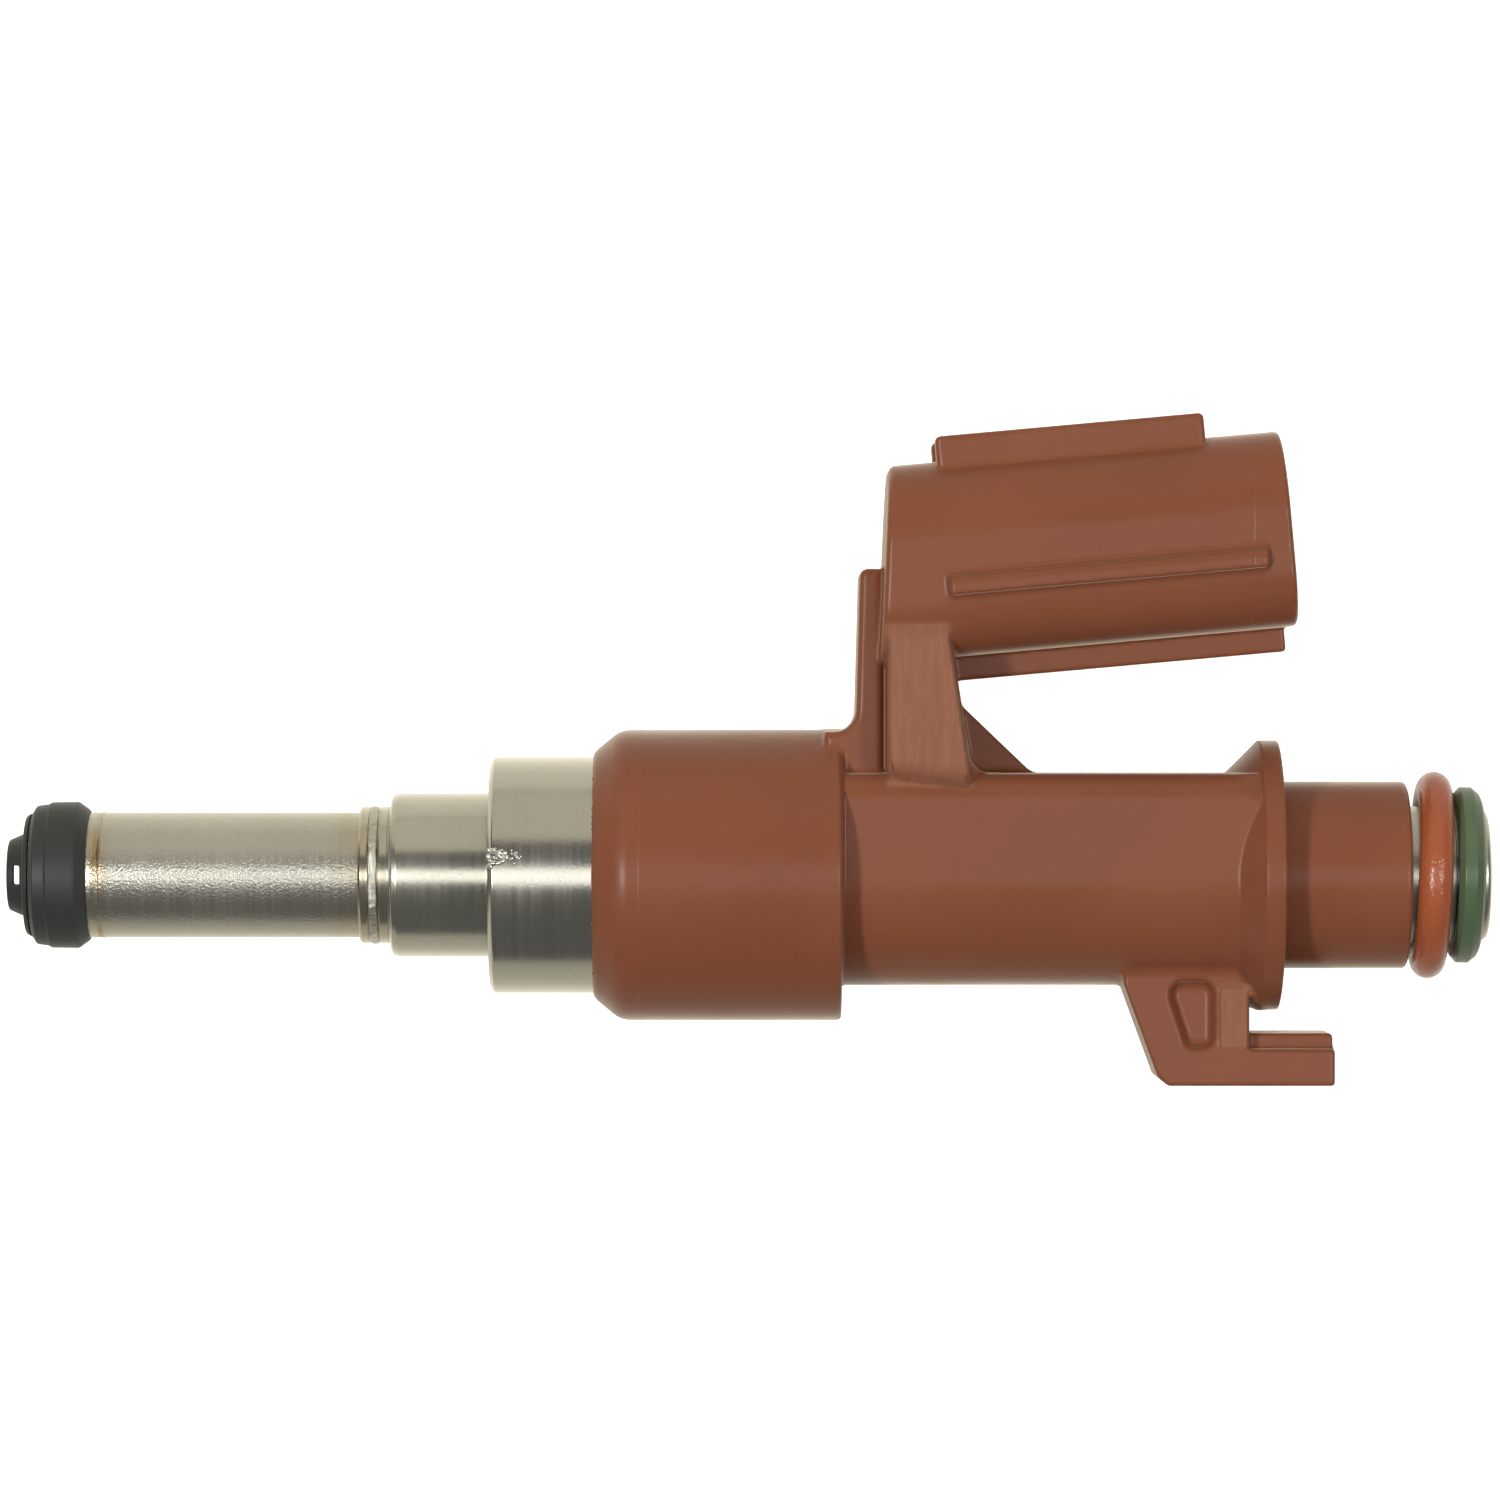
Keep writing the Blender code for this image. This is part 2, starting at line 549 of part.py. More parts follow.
def make_moulded_body(mat):
    """The plastic overmould: sleeve over the coil, barrel, rail flange, spigot, arm, socket and tab."""
    body = turned("moulded_body", [
        (BODY_X, 0.0), (BODY_X, 6.4), (31.28, BODY_R), (BODY_END_X - 0.35, BODY_R - 0.04),
        (BODY_END_X - 0.1, BODY_R - 0.14), (BODY_END_X, BODY_R - 0.4), (BODY_END_X, 0.0)], mat)
    half_round = [(z, y) for z, y in arc((0.0, 0.0), BARREL_R, 180, 360, 18)]
    top = rounded([(BARREL_R, 1.0, 0), (BARREL_R, BARREL_TOP_Y, 1.4), (-BARREL_R, BARREL_TOP_Y, 1.4),
                   (-BARREL_R, 1.0, 0)], 4)
    barrel = bar_along_x("barrel_adder", half_round + top, BODY_END_X - 1.0, FLANGE_X + 0.2)
    flange = turned("flange_adder", [
        (62.3, 0.0), (62.3, 4.5), (FLANGE_X - 0.06, FLANGE_R - 0.02), (FLANGE_X + 0.1, FLANGE_R),
        (FLANGE_END_X - 0.15, FLANGE_R - 0.02), (FLANGE_END_X, FLANGE_R - 0.2), (FLANGE_END_X, 0.0)])
    spigot = turned("spigot_adder", [
        (FLANGE_X, 0.0), (FLANGE_X, SPIGOT_R), (SPIGOT_END_X - 0.3, SPIGOT_R),
        (SPIGOT_END_X - 0.08, SPIGOT_R - 0.1), (SPIGOT_END_X, SPIGOT_R - 0.3), (SPIGOT_END_X, 0.0)])
    join_shapes(body, [barrel, flange, spigot, socket_body("socket_adder"), *arm_shapes(),
                       *socket_features(), *tab_shapes()])
    face_x = HOUSING_END_X + 0.1
    bore = turned("bore_cutter", [
        (BODY_X - 1, 0.0), (BODY_X - 1, HOUSING_R + GAP), (face_x, HOUSING_R + GAP),
        (face_x, TUBE_R + GAP), (SPIGOT_END_X + 1, TUBE_R + GAP), (SPIGOT_END_X + 1, 0.0)])
    cavity = socket_bar("cavity_cutter", oval(SOCKET_WALL, 4), SOCKET_FLOOR, SOCKET_MOUTH + 1)
    channels = []
    for side in (-1, 1):
        channels.extend(terminal_shapes(f"terminal_cutter_{side}", side, CHANNEL_GAP))
    cut_shapes(body, [bore, cavity, *channels, *tab_pockets()])


def main():
    clear_scene()
    steel = material("steel", (0.62, 0.60, 0.56), 0.30, 1.0)
    dark_steel = material("magnetic_steel", (0.48, 0.47, 0.45), 0.38, 1.0)
    brown = material("brown_plastic", (0.24, 0.085, 0.045), 0.42)
    make_cap(material("black_plastic", (0.025, 0.028, 0.028), 0.5))
    make_spray_plate(material("plate_steel", (0.66, 0.65, 0.62), 0.22, 1.0))
    make_valve(steel, material("guide_steel", (0.55, 0.54, 0.5), 0.35, 1.0),
               material("ball_steel", (0.75, 0.75, 0.76), 0.08, 1.0))
    make_holder(steel)
    make_valve_body(steel)
    make_magnet_circuit(steel, material("ring_steel", (0.58, 0.55, 0.48), 0.33, 1.0), dark_steel)
    make_coil(material("bobbin_plastic", (0.05, 0.05, 0.055), 0.5),
              material("copper_wire", (0.62, 0.25, 0.12), 0.3, 1.0))
    make_spring(material("spring_steel", (0.6, 0.6, 0.6), 0.25, 1.0))
    make_adjusting_sleeve(dark_steel)
    make_inlet_tube(steel)
    make_o_ring(material("orange_rubber", (0.40, 0.10, 0.03), 0.3))
    make_retainer(material("green_plastic", (0.06, 0.13, 0.06), 0.45))
    make_filter(material("filter_plastic", (0.45, 0.4, 0.3), 0.5),
                material("filter_mesh", (0.7, 0.7, 0.68), 0.6))
    make_terminals(material("tinned_brass", (0.70, 0.68, 0.60), 0.28, 1.0))
    make_moulded_body(brown)


main()
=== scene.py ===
"""Looks of the port fuel injector: fine meshes, materials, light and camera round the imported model."""

import math

import bmesh
import bpy
import numpy as np
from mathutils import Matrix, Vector


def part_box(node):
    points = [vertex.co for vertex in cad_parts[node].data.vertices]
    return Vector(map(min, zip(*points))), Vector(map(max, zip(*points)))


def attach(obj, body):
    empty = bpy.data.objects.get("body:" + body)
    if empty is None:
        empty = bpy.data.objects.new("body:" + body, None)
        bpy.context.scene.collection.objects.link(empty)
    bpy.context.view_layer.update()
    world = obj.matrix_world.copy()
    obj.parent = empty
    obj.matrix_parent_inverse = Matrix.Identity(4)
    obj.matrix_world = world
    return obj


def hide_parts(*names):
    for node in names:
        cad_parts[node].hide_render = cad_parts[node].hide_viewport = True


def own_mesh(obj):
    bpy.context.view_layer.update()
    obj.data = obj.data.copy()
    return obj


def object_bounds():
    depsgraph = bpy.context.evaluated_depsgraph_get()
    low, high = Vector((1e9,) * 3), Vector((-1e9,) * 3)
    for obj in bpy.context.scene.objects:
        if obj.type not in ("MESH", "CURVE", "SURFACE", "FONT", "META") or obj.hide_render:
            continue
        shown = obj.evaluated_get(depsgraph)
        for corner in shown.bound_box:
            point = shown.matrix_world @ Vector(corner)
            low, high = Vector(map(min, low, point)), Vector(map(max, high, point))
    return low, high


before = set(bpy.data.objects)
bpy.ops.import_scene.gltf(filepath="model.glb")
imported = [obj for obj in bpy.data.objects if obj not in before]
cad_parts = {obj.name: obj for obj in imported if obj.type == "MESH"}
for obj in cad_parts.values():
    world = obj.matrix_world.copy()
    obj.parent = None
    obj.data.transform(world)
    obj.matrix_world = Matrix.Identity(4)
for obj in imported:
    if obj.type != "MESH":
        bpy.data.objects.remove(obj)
cad_low, cad_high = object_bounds()

MM = 0.001
BODY = "body"
NEEDLE = "needle"
TURNS = 192  # facets round a turned piece
FAR = 1e3  # further than anything in a distance field, in millimetres
SETTLING = 3  # passes that pull a sculpted mesh onto its field

# Places along the injector's axis and radii, in millimetres
HOUSING_R = 6.23
BODY_X = 29.75
BODY_END_X = 42.9
BODY_R = 7.68
BARREL_R = 5.82
BARREL_TOP = 5.4
BARREL_CORNER = 1.4
FLANGE_X = 64.86
FLANGE_END_X = 65.97
FLANGE_R = 7.12
SPIGOT_R = 4.93
SPIGOT_END_X = 72.75
TUBE_R = 3.4

# Electrical socket
TILT = math.radians(5.13)
SOCKET_X, SOCKET_Y = 48.78, 16.66
SOCKET_REAR_X = 45.14
SOCKET_REAR_LEAN = 0.042
SOCKET_MOUTH = 17.56
SOCKET_FLOOR = 2.7
SOCKET_HALF_HEIGHT = 5.13
SOCKET_HALF_WIDTH = 6.95
SOCKET_WALL = 1.3
RAIL_RISE = 1.27


# ---------------------------------------------------------------- outlines and meshes

def rounded(corners, steps=5):
    """Outline through corners given as (x, y, corner radius)."""
    outline = []
    count = len(corners)
    for i, (x, y, radius) in enumerate(corners):
        if radius <= 0:
            outline.append((x, y))
            continue
        corner = Vector((x, y))
        before = (Vector(corners[i - 1][:2]) - corner).normalized()
        after = (Vector(corners[(i + 1) % count][:2]) - corner).normalized()
        half = before.angle(after) / 2
        centre = corner + (before + after).normalized() * radius / math.sin(half)
        first = corner + before * radius / math.tan(half) - centre
        last = corner + after * radius / math.tan(half) - centre
        start = math.atan2(first.y, first.x)
        sweep = math.atan2(first.cross(last), first.dot(last))
        for step in range(steps + 1):
            angle = start + sweep * step / steps
            outline.append((centre.x + radius * math.cos(angle), centre.y + radius * math.sin(angle)))
    return outline


def add_mesh(name, points, faces, mat, body, nodes, sharp=35):
    """Object from points in millimetres; it rides on a body and stands for CAD nodes."""
    mesh = bpy.data.meshes.new(name)
    mesh.from_pydata((np.asarray(points, float) * MM).tolist(), [], faces)
    mesh.validate()
    mesh.materials.append(mat)
    mesh.shade_smooth()
    if sharp:
        mesh.set_sharp_from_angle(angle=math.radians(sharp))
    obj = bpy.data.objects.new(name, mesh)
    bpy.context.collection.objects.link(obj)
    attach(obj, body)
    if nodes:
        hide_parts(*nodes)
    return obj


def turned_points(outline, turns, shape=None):
    """Rings of points for an outline of (x, radius) turned about X; shape may move them."""
    x, r = np.array(outline, float).T
    angle = np.arange(turns) * math.tau / turns
    points = np.stack([np.repeat(x[None], turns, 0), np.outer(np.cos(angle), r),
                       np.outer(np.sin(angle), r)], axis=2)
    return points if shape is None else shape(points, angle)


def turned(name, outline, mat, nodes, body=BODY, turns=TURNS, shape=None):
    """Closed outline of (x, radius, corner radius) turned about the injector's axis."""
    outline = rounded(outline)
    points = turned_points(outline, turns, shape)
    count = len(outline)
    faces = []
    for i in range(turns):
        here, there = i * count, ((i + 1) % turns) * count
        for j in range(count):
            k = (j + 1) % count
            faces.append((here + j, here + k, there + k, there + j))
    obj = add_mesh(name, points.reshape(-1, 3), faces, mat, body, nodes)
    bm = bmesh.new()
    bm.from_mesh(obj.data)
    bmesh.ops.remove_doubles(bm, verts=bm.verts, dist=1e-8)
    bmesh.ops.recalc_face_normals(bm, faces=bm.faces)
    bm.to_mesh(obj.data)
    bm.free()
    return obj


# ---------------------------------------------------------------- distance fields

def either(a, b, r=0.0):
    """Union of two distance fields with a fillet of radius r in the corner between them."""
    if r <= 0:
        return np.minimum(a, b)
    u, v = np.maximum(r - a, 0), np.maximum(r - b, 0)
    return np.maximum(r, np.minimum(a, b)) - np.hypot(u, v)


def both(a, b, r=0.0):
    """Common part of two distance fields, its edge rounded to radius r."""
    if r <= 0:
        return np.maximum(a, b)
    u, v = np.maximum(r + a, 0), np.maximum(r + b, 0)
    return np.minimum(-r, np.maximum(a, b)) + np.hypot(u, v)


def without(a, b, r=0.0):
    return both(a, -b, r)


def between(x, low, high):
    return np.maximum(low - x, x - high)


def inside_outline(x, y, outline):
    """Signed distance to a closed outline in a plane, negative inside."""
    nearest = np.full(x.shape, FAR, x.dtype)
    sign = np.ones(x.shape, x.dtype)
    count = len(outline)
    for i in range(count):
        ax, ay = outline[i]
        bx, by = outline[(i + 1) % count]
        ex, ey = bx - ax, by - ay
        wx, wy = x - ax, y - ay
        along = np.clip((wx * ex + wy * ey) / (ex * ex + ey * ey), 0, 1)
        nearest = np.minimum(nearest, (wx - ex * along) ** 2 + (wy - ey * along) ** 2)
        crosses = ((ay <= y) & (by > y)) | ((ay > y) & (by <= y))
        left = ex * wy > ey * wx
        flips = crosses & (left == (by > ay))
        sign = np.where(flips, -sign, sign)
    return sign * np.sqrt(nearest)


def rounded_rectangle(u, v, half_u, half_v, radius):
    qu, qv = np.abs(u) - half_u + radius, np.abs(v) - half_v + radius
    return np.minimum(np.maximum(qu, qv), 0) + np.hypot(np.maximum(qu, 0), np.maximum(qv, 0)) - radius


def near(x, low, high, margin=2.0):
    return x.max() > low - margin and x.min() < high + margin


def in_slabs(field, points, size=60000):
    """Evaluates a field slab by slab, so that it can skip what is far from each slab."""
    parts = [field(*points[i:i + size].T) for i in range(0, len(points), size)]
    return np.concatenate(parts)


def field_normals(field, points, step=0.02):
    slopes = []
    for axis in range(3):
        shift = np.zeros(3)
        shift[axis] = step
        slopes.append(in_slabs(field, points + shift) - in_slabs(field, points - shift))
    normals = np.stack(slopes, 1)
    return normals / np.maximum(np.linalg.norm(normals, axis=1, keepdims=True), 1e-9)


def grid_surface(field, low, high, cell):
    """Quads on the zero surface of a field: one point in each grid cell that the surface crosses."""
    axes = [np.arange(a, b + cell, cell) for a, b in zip(low, high)]
    shape = tuple(len(a) for a in axes)
    values = np.empty(shape, np.float32)
    yy, zz = np.meshgrid(axes[1], axes[2], indexing="ij")
    for i, x in enumerate(axes[0]):
        values[i] = field(np.full(yy.shape, x), yy, zz)
    inner = values < 0
    corners_inside = np.zeros(tuple(n - 1 for n in shape), np.uint8)
    for corner in np.ndindex(2, 2, 2):
        corners_inside += inner[tuple(slice(c, n - 1 + c) for c, n in zip(corner, shape))]
    crossed = (corners_inside > 0) & (corners_inside < 8)
    index = np.full(crossed.shape, -1, np.int64)
    places = np.argwhere(crossed)
    index[crossed] = np.arange(len(places))
    sums = np.zeros((len(places), 3))
    hits = np.zeros(len(places))
    for axis in range(3):
        others = [a for a in range(3) if a != axis]
        for offset in np.ndindex(2, 2):
            start = places.copy()
            start[:, others[0]] += offset[0]
            start[:, others[1]] += offset[1]
            end = start.copy()
            end[:, axis] += 1
            a, b = values[tuple(start.T)], values[tuple(end.T)]
            hit = (a < 0) != (b < 0)
            share = np.where(hit, a / np.where(hit, a - b, 1), 0)
            spot = start.astype(float)
            spot[:, axis] += share
            sums += np.where(hit[:, None], spot, 0)
            hits += hit
    points = np.array([a[0] for a in axes]) + sums / hits[:, None] * cell
    quads = []
    for axis in range(3):
        b, c = (axis + 1) % 3, (axis + 2) % 3
        first = [slice(None)] * 3
        second = [slice(None)] * 3
        first[axis], second[axis] = slice(0, -1), slice(1, None)
        a_in, b_in = inner[tuple(first)], inner[tuple(second)]
        for entering in (True, False):
            spots = np.argwhere((a_in & ~b_in) if entering else (~a_in & b_in))
            ring = []
            for db, dc in ((-1, -1), (0, -1), (0, 0), (-1, 0)):
                place = spots.copy()
                place[:, b] += db
                place[:, c] += dc
                ring.append(index[tuple(place.T)])
            ring = np.stack(ring, 1)
            quads.append(ring if entering else ring[:, ::-1])
    return points, np.concatenate(quads)


def sculpted(name, field, low, high, cell, keep, mat, nodes, body=BODY):
    """Mesh of a field's surface: settled on it, thinned where it is flat, with its own normals."""
    points, quads = grid_surface(field, low, high, cell)
    for _ in range(SETTLING):
        normals = field_normals(field, points)
        points = points - normals * np.clip(in_slabs(field, points), -cell, cell)[:, None]
    obj = add_mesh(name, points, quads.tolist(), mat, body, nodes, sharp=0)
    if keep < 1:
        thin = obj.modifiers.new("thin", "DECIMATE")
        thin.ratio = keep
        evaluated = obj.evaluated_get(bpy.context.evaluated_depsgraph_get())
        fine = obj.data
        obj.data = bpy.data.meshes.new_from_object(evaluated)
        obj.modifiers.clear()
        bpy.data.meshes.remove(fine)
        obj.data.name = name
    spots = np.empty(len(obj.data.vertices) * 3)
    obj.data.vertices.foreach_get("co", spots)
    spots = spots.reshape(-1, 3) / MM
    order = np.argsort(spots[:, 0])
    normals = np.empty_like(spots)
    normals[order] = field_normals(field, spots[order])
    obj.data.shade_smooth()
    obj.data.normals_split_custom_set_from_vertices(normals.tolist())
    return obj


# ---------------------------------------------------------------- materials

class Look:
    """A Principled material with short calls for the nodes that give it its detail."""

    def __init__(self, name, roughness, metallic=0.0, **settings):
        self.mat = bpy.data.materials.new(name)
        self.mat.use_nodes = True
        self.tree = self.mat.node_tree
        self.shader = self.tree.nodes["Principled BSDF"]
        self.shader.inputs["Roughness"].default_value = roughness
        self.shader.inputs["Metallic"].default_value = metallic
        for key, value in settings.items():
            self.shader.inputs[key.replace("_", " ")].default_value = value
        self.place = self.node("ShaderNodeTexCoord").outputs["Object"]
        split = self.node("ShaderNodeSeparateXYZ")
        self.link(self.place, split.inputs[0])
        self.x, self.y, self.z = split.outputs

    def node(self, kind, **settings):
        node = self.tree.nodes.new(kind)
        for key, value in settings.items():
            setattr(node, key, value)
        return node

    def link(self, source, socket):
        if isinstance(source, (int, float)):
            socket.default_value = source
        else:
            self.tree.links.new(source, socket)

    def math(self, operation, a, b=0.0, c=0.0, clamp=False):
        node = self.node("ShaderNodeMath", operation=operation, use_clamp=clamp)
        for value, socket in zip((a, b, c), node.inputs):
            self.link(value, socket)
        return node.outputs[0]

    def noise(self, scale, detail=3.0, stretch=(1, 1, 1), roughness=0.5):
        """Noise with its features 1/scale metres wide, drawn out along an axis by stretch."""
        grow = self.node("ShaderNodeMapping")
        grow.inputs["Scale"].default_value = stretch
        self.link(self.place, grow.inputs["Vector"])
        noise = self.node("ShaderNodeTexNoise")
        noise.inputs["Scale"].default_value = scale
        noise.inputs["Detail"].default_value = detail
        noise.inputs["Roughness"].default_value = roughness
        self.link(grow.outputs[0], noise.inputs["Vector"])
        return noise.outputs["Fac"]

    def spread(self, source, low, high, to_low=0.0, to_high=1.0):
        """Smooth step of a value from one range to another."""
        step = self.node("ShaderNodeMapRange", interpolation_type="SMOOTHSTEP")
        for value, socket in zip((source, low, high, to_low, to_high), step.inputs):
            self.link(value, socket)
        return step.outputs[0]

    def within(self, source, low, high, soft):
        """1 between low and high, 0 outside, in metres; the change is soft metres wide."""
        rise = self.spread(source, low - soft / 2, low + soft / 2)
        fall = self.spread(source, high - soft / 2, high + soft / 2, 1.0, 0.0)
        return self.math("MULTIPLY", rise, fall)

    def every(self, *masks):
        result = masks[0]
        for mask in masks[1:]:
            result = self.math("MULTIPLY", result, mask)
        return result

    def any(self, *masks):
        result = masks[0]
        for mask in masks[1:]:
            result = self.math("MAXIMUM", result, mask)
        return result

    def colours(self, factor, *stops):
        """Colour ramp through (position, colour) stops."""
        ramp = self.node("ShaderNodeValToRGB")
        band = ramp.color_ramp
        for i, (position, colour) in enumerate(stops):
            stop = band.elements[i] if i < 2 else band.elements.new(position)
            stop.position = position
            stop.color = (*colour, 1.0)
        self.link(factor, ramp.inputs[0])
        return ramp.outputs[0]

    def mix(self, factor, first, second):
        node = self.node("ShaderNodeMix", data_type="RGBA")
        self.link(factor, node.inputs[0])
        for colour, socket in ((first, node.inputs[6]), (second, node.inputs[7])):
            if isinstance(colour, tuple):
                socket.default_value = (*colour, 1.0)
            else:
                self.tree.links.new(colour, socket)
        return node.outputs[2]

    def blend(self, factor, first, second):
        node = self.node("ShaderNodeMix", data_type="FLOAT")
        for value, i in ((factor, 0), (first, 2), (second, 3)):
            self.link(value, node.inputs[i])
        return node.outputs[0]

    def colour(self, source):
        self.link(source, self.shader.inputs["Base Color"])

    def gloss(self, source):
        self.link(source, self.shader.inputs["Roughness"])

    def bumps(self, *layers):
        """Bump maps on top of each other, each as (height, depth in metres)."""
        normal = None
        for height, depth in layers:
            bump = self.node("ShaderNodeBump")
            bump.inputs["Distance"].default_value = depth
            self.link(height, bump.inputs["Height"])
            if normal:
                self.link(normal, bump.inputs["Normal"])
            normal = bump.outputs[0]
        self.link(normal, self.shader.inputs["Normal"])
        return self.mat


def turned_steel(name, colour, shade, roughness, stains=(), beads=(), lathe=1.0, grain=2.5e-6,
                 speckle=5200):
    """Turned steel: fine rings round the axis and faint smears.

    Stains are heat tints as (x, half width, strength, colour) and beads are rough weld seams as
    (x, half width), both in millimetres along the axis. lathe scales the depth of the rings, grain is
    the depth of the fine speckle and speckle its scale.
    """
    look = Look(name, roughness, 1.0)
    smear = look.noise(160, 4.0, (1, 0.6, 0.6))
    speck = look.noise(speckle, 2.0)
    line = look.noise(3000, 3.0, (1, 0.015, 0.015), 0.7)
    base = look.colours(look.blend(0.4, smear, line), (0.25, shade), (0.75, colour))
    base = look.mix(look.spread(speck, 0.25, 0.4, 0.25, 0.0), base, tuple(c * 0.6 for c in shade))
    rough = look.blend(0.5, look.spread(smear, 0.3, 0.7, roughness - 0.04, roughness + 0.04),
                       look.spread(line, 0.3, 0.7, roughness - 0.06, roughness + 0.06))
    layers = [(line, 4e-6 * lathe), (speck, grain), (smear, 2e-6)]
    blotch = look.noise(420, 3.0, (2.5, 0.8, 0.8))
    for x, half, strength, tint in stains:
        band = look.within(look.math("MULTIPLY_ADD", blotch, 4e-4, look.x), (x - half) * MM + 2e-4,
                           (x + half) * MM + 2e-4, half * 1.3 * MM)
        amount = look.math("MULTIPLY", band, look.spread(blotch, 0.38, 0.62, strength * 0.25, strength))
        base = look.mix(amount, base, tint)
    lumps = look.noise(5500, 4.0, (0.7, 1, 1), 0.65)
    for x, half in beads:
        layers.append((look.math("MULTIPLY", lumps, look.within(look.x, (x - half) * MM, (x + half) * MM,
                                                                half * 0.6 * MM)), 9e-5))
    look.colour(base)
    look.gloss(rough)
    return look.bumps(*layers)


def moulded(name, colour, shade, roughness, grain=2400, depth=6e-6, frost=(), frost_colour=None, seams=(),
            **settings):
    """Moulded plastic: uneven tone, a fine spark-eroded grain, and frosted boxes of coarser grain.

    Seams are faint parting lines across the axis, as (x, lowest y, highest y) in millimetres.
    """
    look = Look(name, roughness, **settings)
    cloud = look.noise(140, 3.0)
    fine = look.noise(grain, 3.0, roughness=0.6)
    base = look.colours(look.blend(0.3, cloud, fine), (0.3, shade), (0.7, colour))
    rough = look.spread(cloud, 0.3, 0.7, roughness - 0.05, roughness + 0.05)
    layers = [(fine, depth)]
    if frost:
        masks = []
        for low, high, lean in frost:
            leaning = look.math("MULTIPLY_ADD", look.y, lean, look.x)
            places = (leaning, look.y, look.math("ABSOLUTE", look.z))
            masks.append(look.every(*[look.within(place, a * MM, b * MM, 3e-4)
                                      for place, a, b in zip(places, low, high)]))
        frosted = look.any(*masks)
        streak = look.noise(3600, 5.0, (1, 0.09, 1), 0.8)
        base = look.mix(look.math("MULTIPLY", frosted, look.spread(streak, 0.3, 0.7, 0.35, 0.7)),
                        base, frost_colour)
        rough = look.blend(frosted, rough, 0.6)
        layers.append((look.math("MULTIPLY", frosted, streak), 9e-6))
    for x, low, high in seams:
        line = look.every(look.within(look.x, (x - 0.02) * MM, (x + 0.02) * MM, 4e-5),
                          look.within(look.y, low * MM, high * MM, 4e-4))
        base = look.mix(look.math("MULTIPLY", line, look.spread(cloud, 0.3, 0.7, 0.1, 0.4)), base,
                        tuple(min(1.5 * c, 1.0) for c in colour))
        layers.append((line, 8e-6))
    look.colour(base)
    look.gloss(rough)
    return look.bumps(*layers)


# ---------------------------------------------------------------- moulded body

def round_shapes(x, y, z):
    """Sleeve over the coil, barrel, rail flange and inlet spigot."""
    off = np.hypot(y, z)
    sleeve = both(between(x, BODY_X, BODY_END_X), off - BODY_R, 0.24)
    chamfer_run, chamfer_rise = 1.53, 1.28
    chamfer_r = BODY_R - chamfer_rise
    slope = math.hypot(chamfer_run, chamfer_rise)
    chamfer = ((off - chamfer_r) * chamfer_run - (x - BODY_X) * chamfer_rise) / slope
    sleeve = both(sleeve, chamfer, 0.3)
    upper = rounded_rectangle(z, y, BARREL_R, BARREL_TOP, BARREL_CORNER)
    flange_cut = off - FLANGE_R + 0.14 - 0.3 * (FLANGE_X - x)  # tucks the corner in behind the flange
    section = both(np.where(y < 0, off - BARREL_R, upper), flange_cut, 0.1)
    barrel = both(section, between(x, BODY_END_X - 3, FLANGE_X + 0.02))
    flange = both(off - FLANGE_R, between(x, FLANGE_X, FLANGE_END_X), 0.13)
    flare_x, flare_r = 62.3, 4.5
    flare = both((off - flare_r - (x - flare_x)) / math.sqrt(2), x - FLANGE_X - 0.1)
    spigot = both(off - SPIGOT_R, between(x, FLANGE_X, SPIGOT_END_X), 0.28)
    rear = either(either(barrel, flare, 0.07), flange, 0.05)
    return either(either(sleeve, barrel, 0.2), either(rear, spigot, 0.15))


def plate_field(x, y, z, outline, half, r):
    return both(inside_outline(x, y, outline), np.abs(z) - half, r)


ARM = rounded([(45.3, 3.0, 0), (51.2, 3.0, 0), (51.2, 5.36, 0), (49.72, 5.36, 1.25), (48.45, 13.3, 0),
               (48.3, 15.5, 0), (45.3, 15.5, 0)])
ARM_PAD = [(45.38, 3.9), (49.7, 3.9), (48.35, 13.1), (48.15, 15.0), (45.38, 15.0)]
FIN = rounded([(42.0, 4.9, 0), (45.02, 4.9, 0), (45.02, 16.1, 0), (43.85, 16.1, 0.4), (43.62, 7.56, 1.15),
               (42.0, 7.56, 0)])
FIN_WEB = [(44.5, 4.9), (46.0, 4.9), (46.0, 16.0), (44.5, 16.0)]
GUSSET = [(48.2, 4.9), (53.5, 4.9), (52.95, 5.42), (48.8, 9.4), (48.2, 9.4)]
TAB = rounded([(57.6, -4.2, 0), (57.72, -5.75, 0), (59.5, -10.6, 0.45), (60.05, -11.04, 0.3),
               (68.8, -11.04, 0.15), (68.8, -9.1, 0.15), (64.3, -9.1, 0.15), (64.3, -4.2, 0)], 3)
FINGER = rounded([(62.0, -10.0, 0), (68.75, -10.0, 0), (68.75, -8.3, 0.22), (62.0, -8.3, 0)], 3)
NECK = [(63.5, -7.2), (65.2, -7.2), (65.2, -4.5), (63.5, -4.5)]
POCKET = rounded([(59.9, -5.55, 0.7), (62.42, -5.55, 0.7), (62.42, -9.0, 0.55), (61.05, -9.0, 0.5)], 4)


def arm(x, y, z):
    """Arm that carries the socket, with the raised pads on its sides, and the fin behind it."""
    core_half, pad_half, fin_half, web_half = 5.6, 6.5, 4.0, 3.7
    taper = np.maximum(x - 49.4, 0)  # narrows the arm's foot towards the barrel's top
    core = plate_field(x, y, z, ARM, core_half - taper, 0.3)
    foot = 5.15 - 0.13 * (x - 45.38)  # the pads sink into the barrel down here
    sink = 1.2
    pads = both(inside_outline(x, y, ARM_PAD), np.abs(z) - pad_half, 0.16)
    pads = both(pads, (np.abs(z) - 5.75 - sink * (y - foot)) / math.hypot(1, sink), 0.4)
    fin = plate_field(x, y, z, FIN, fin_half, 0.36)
    web = plate_field(x, y, z, FIN_WEB, web_half, 0.1)
    return core, pads, either(fin, web, 0.06)


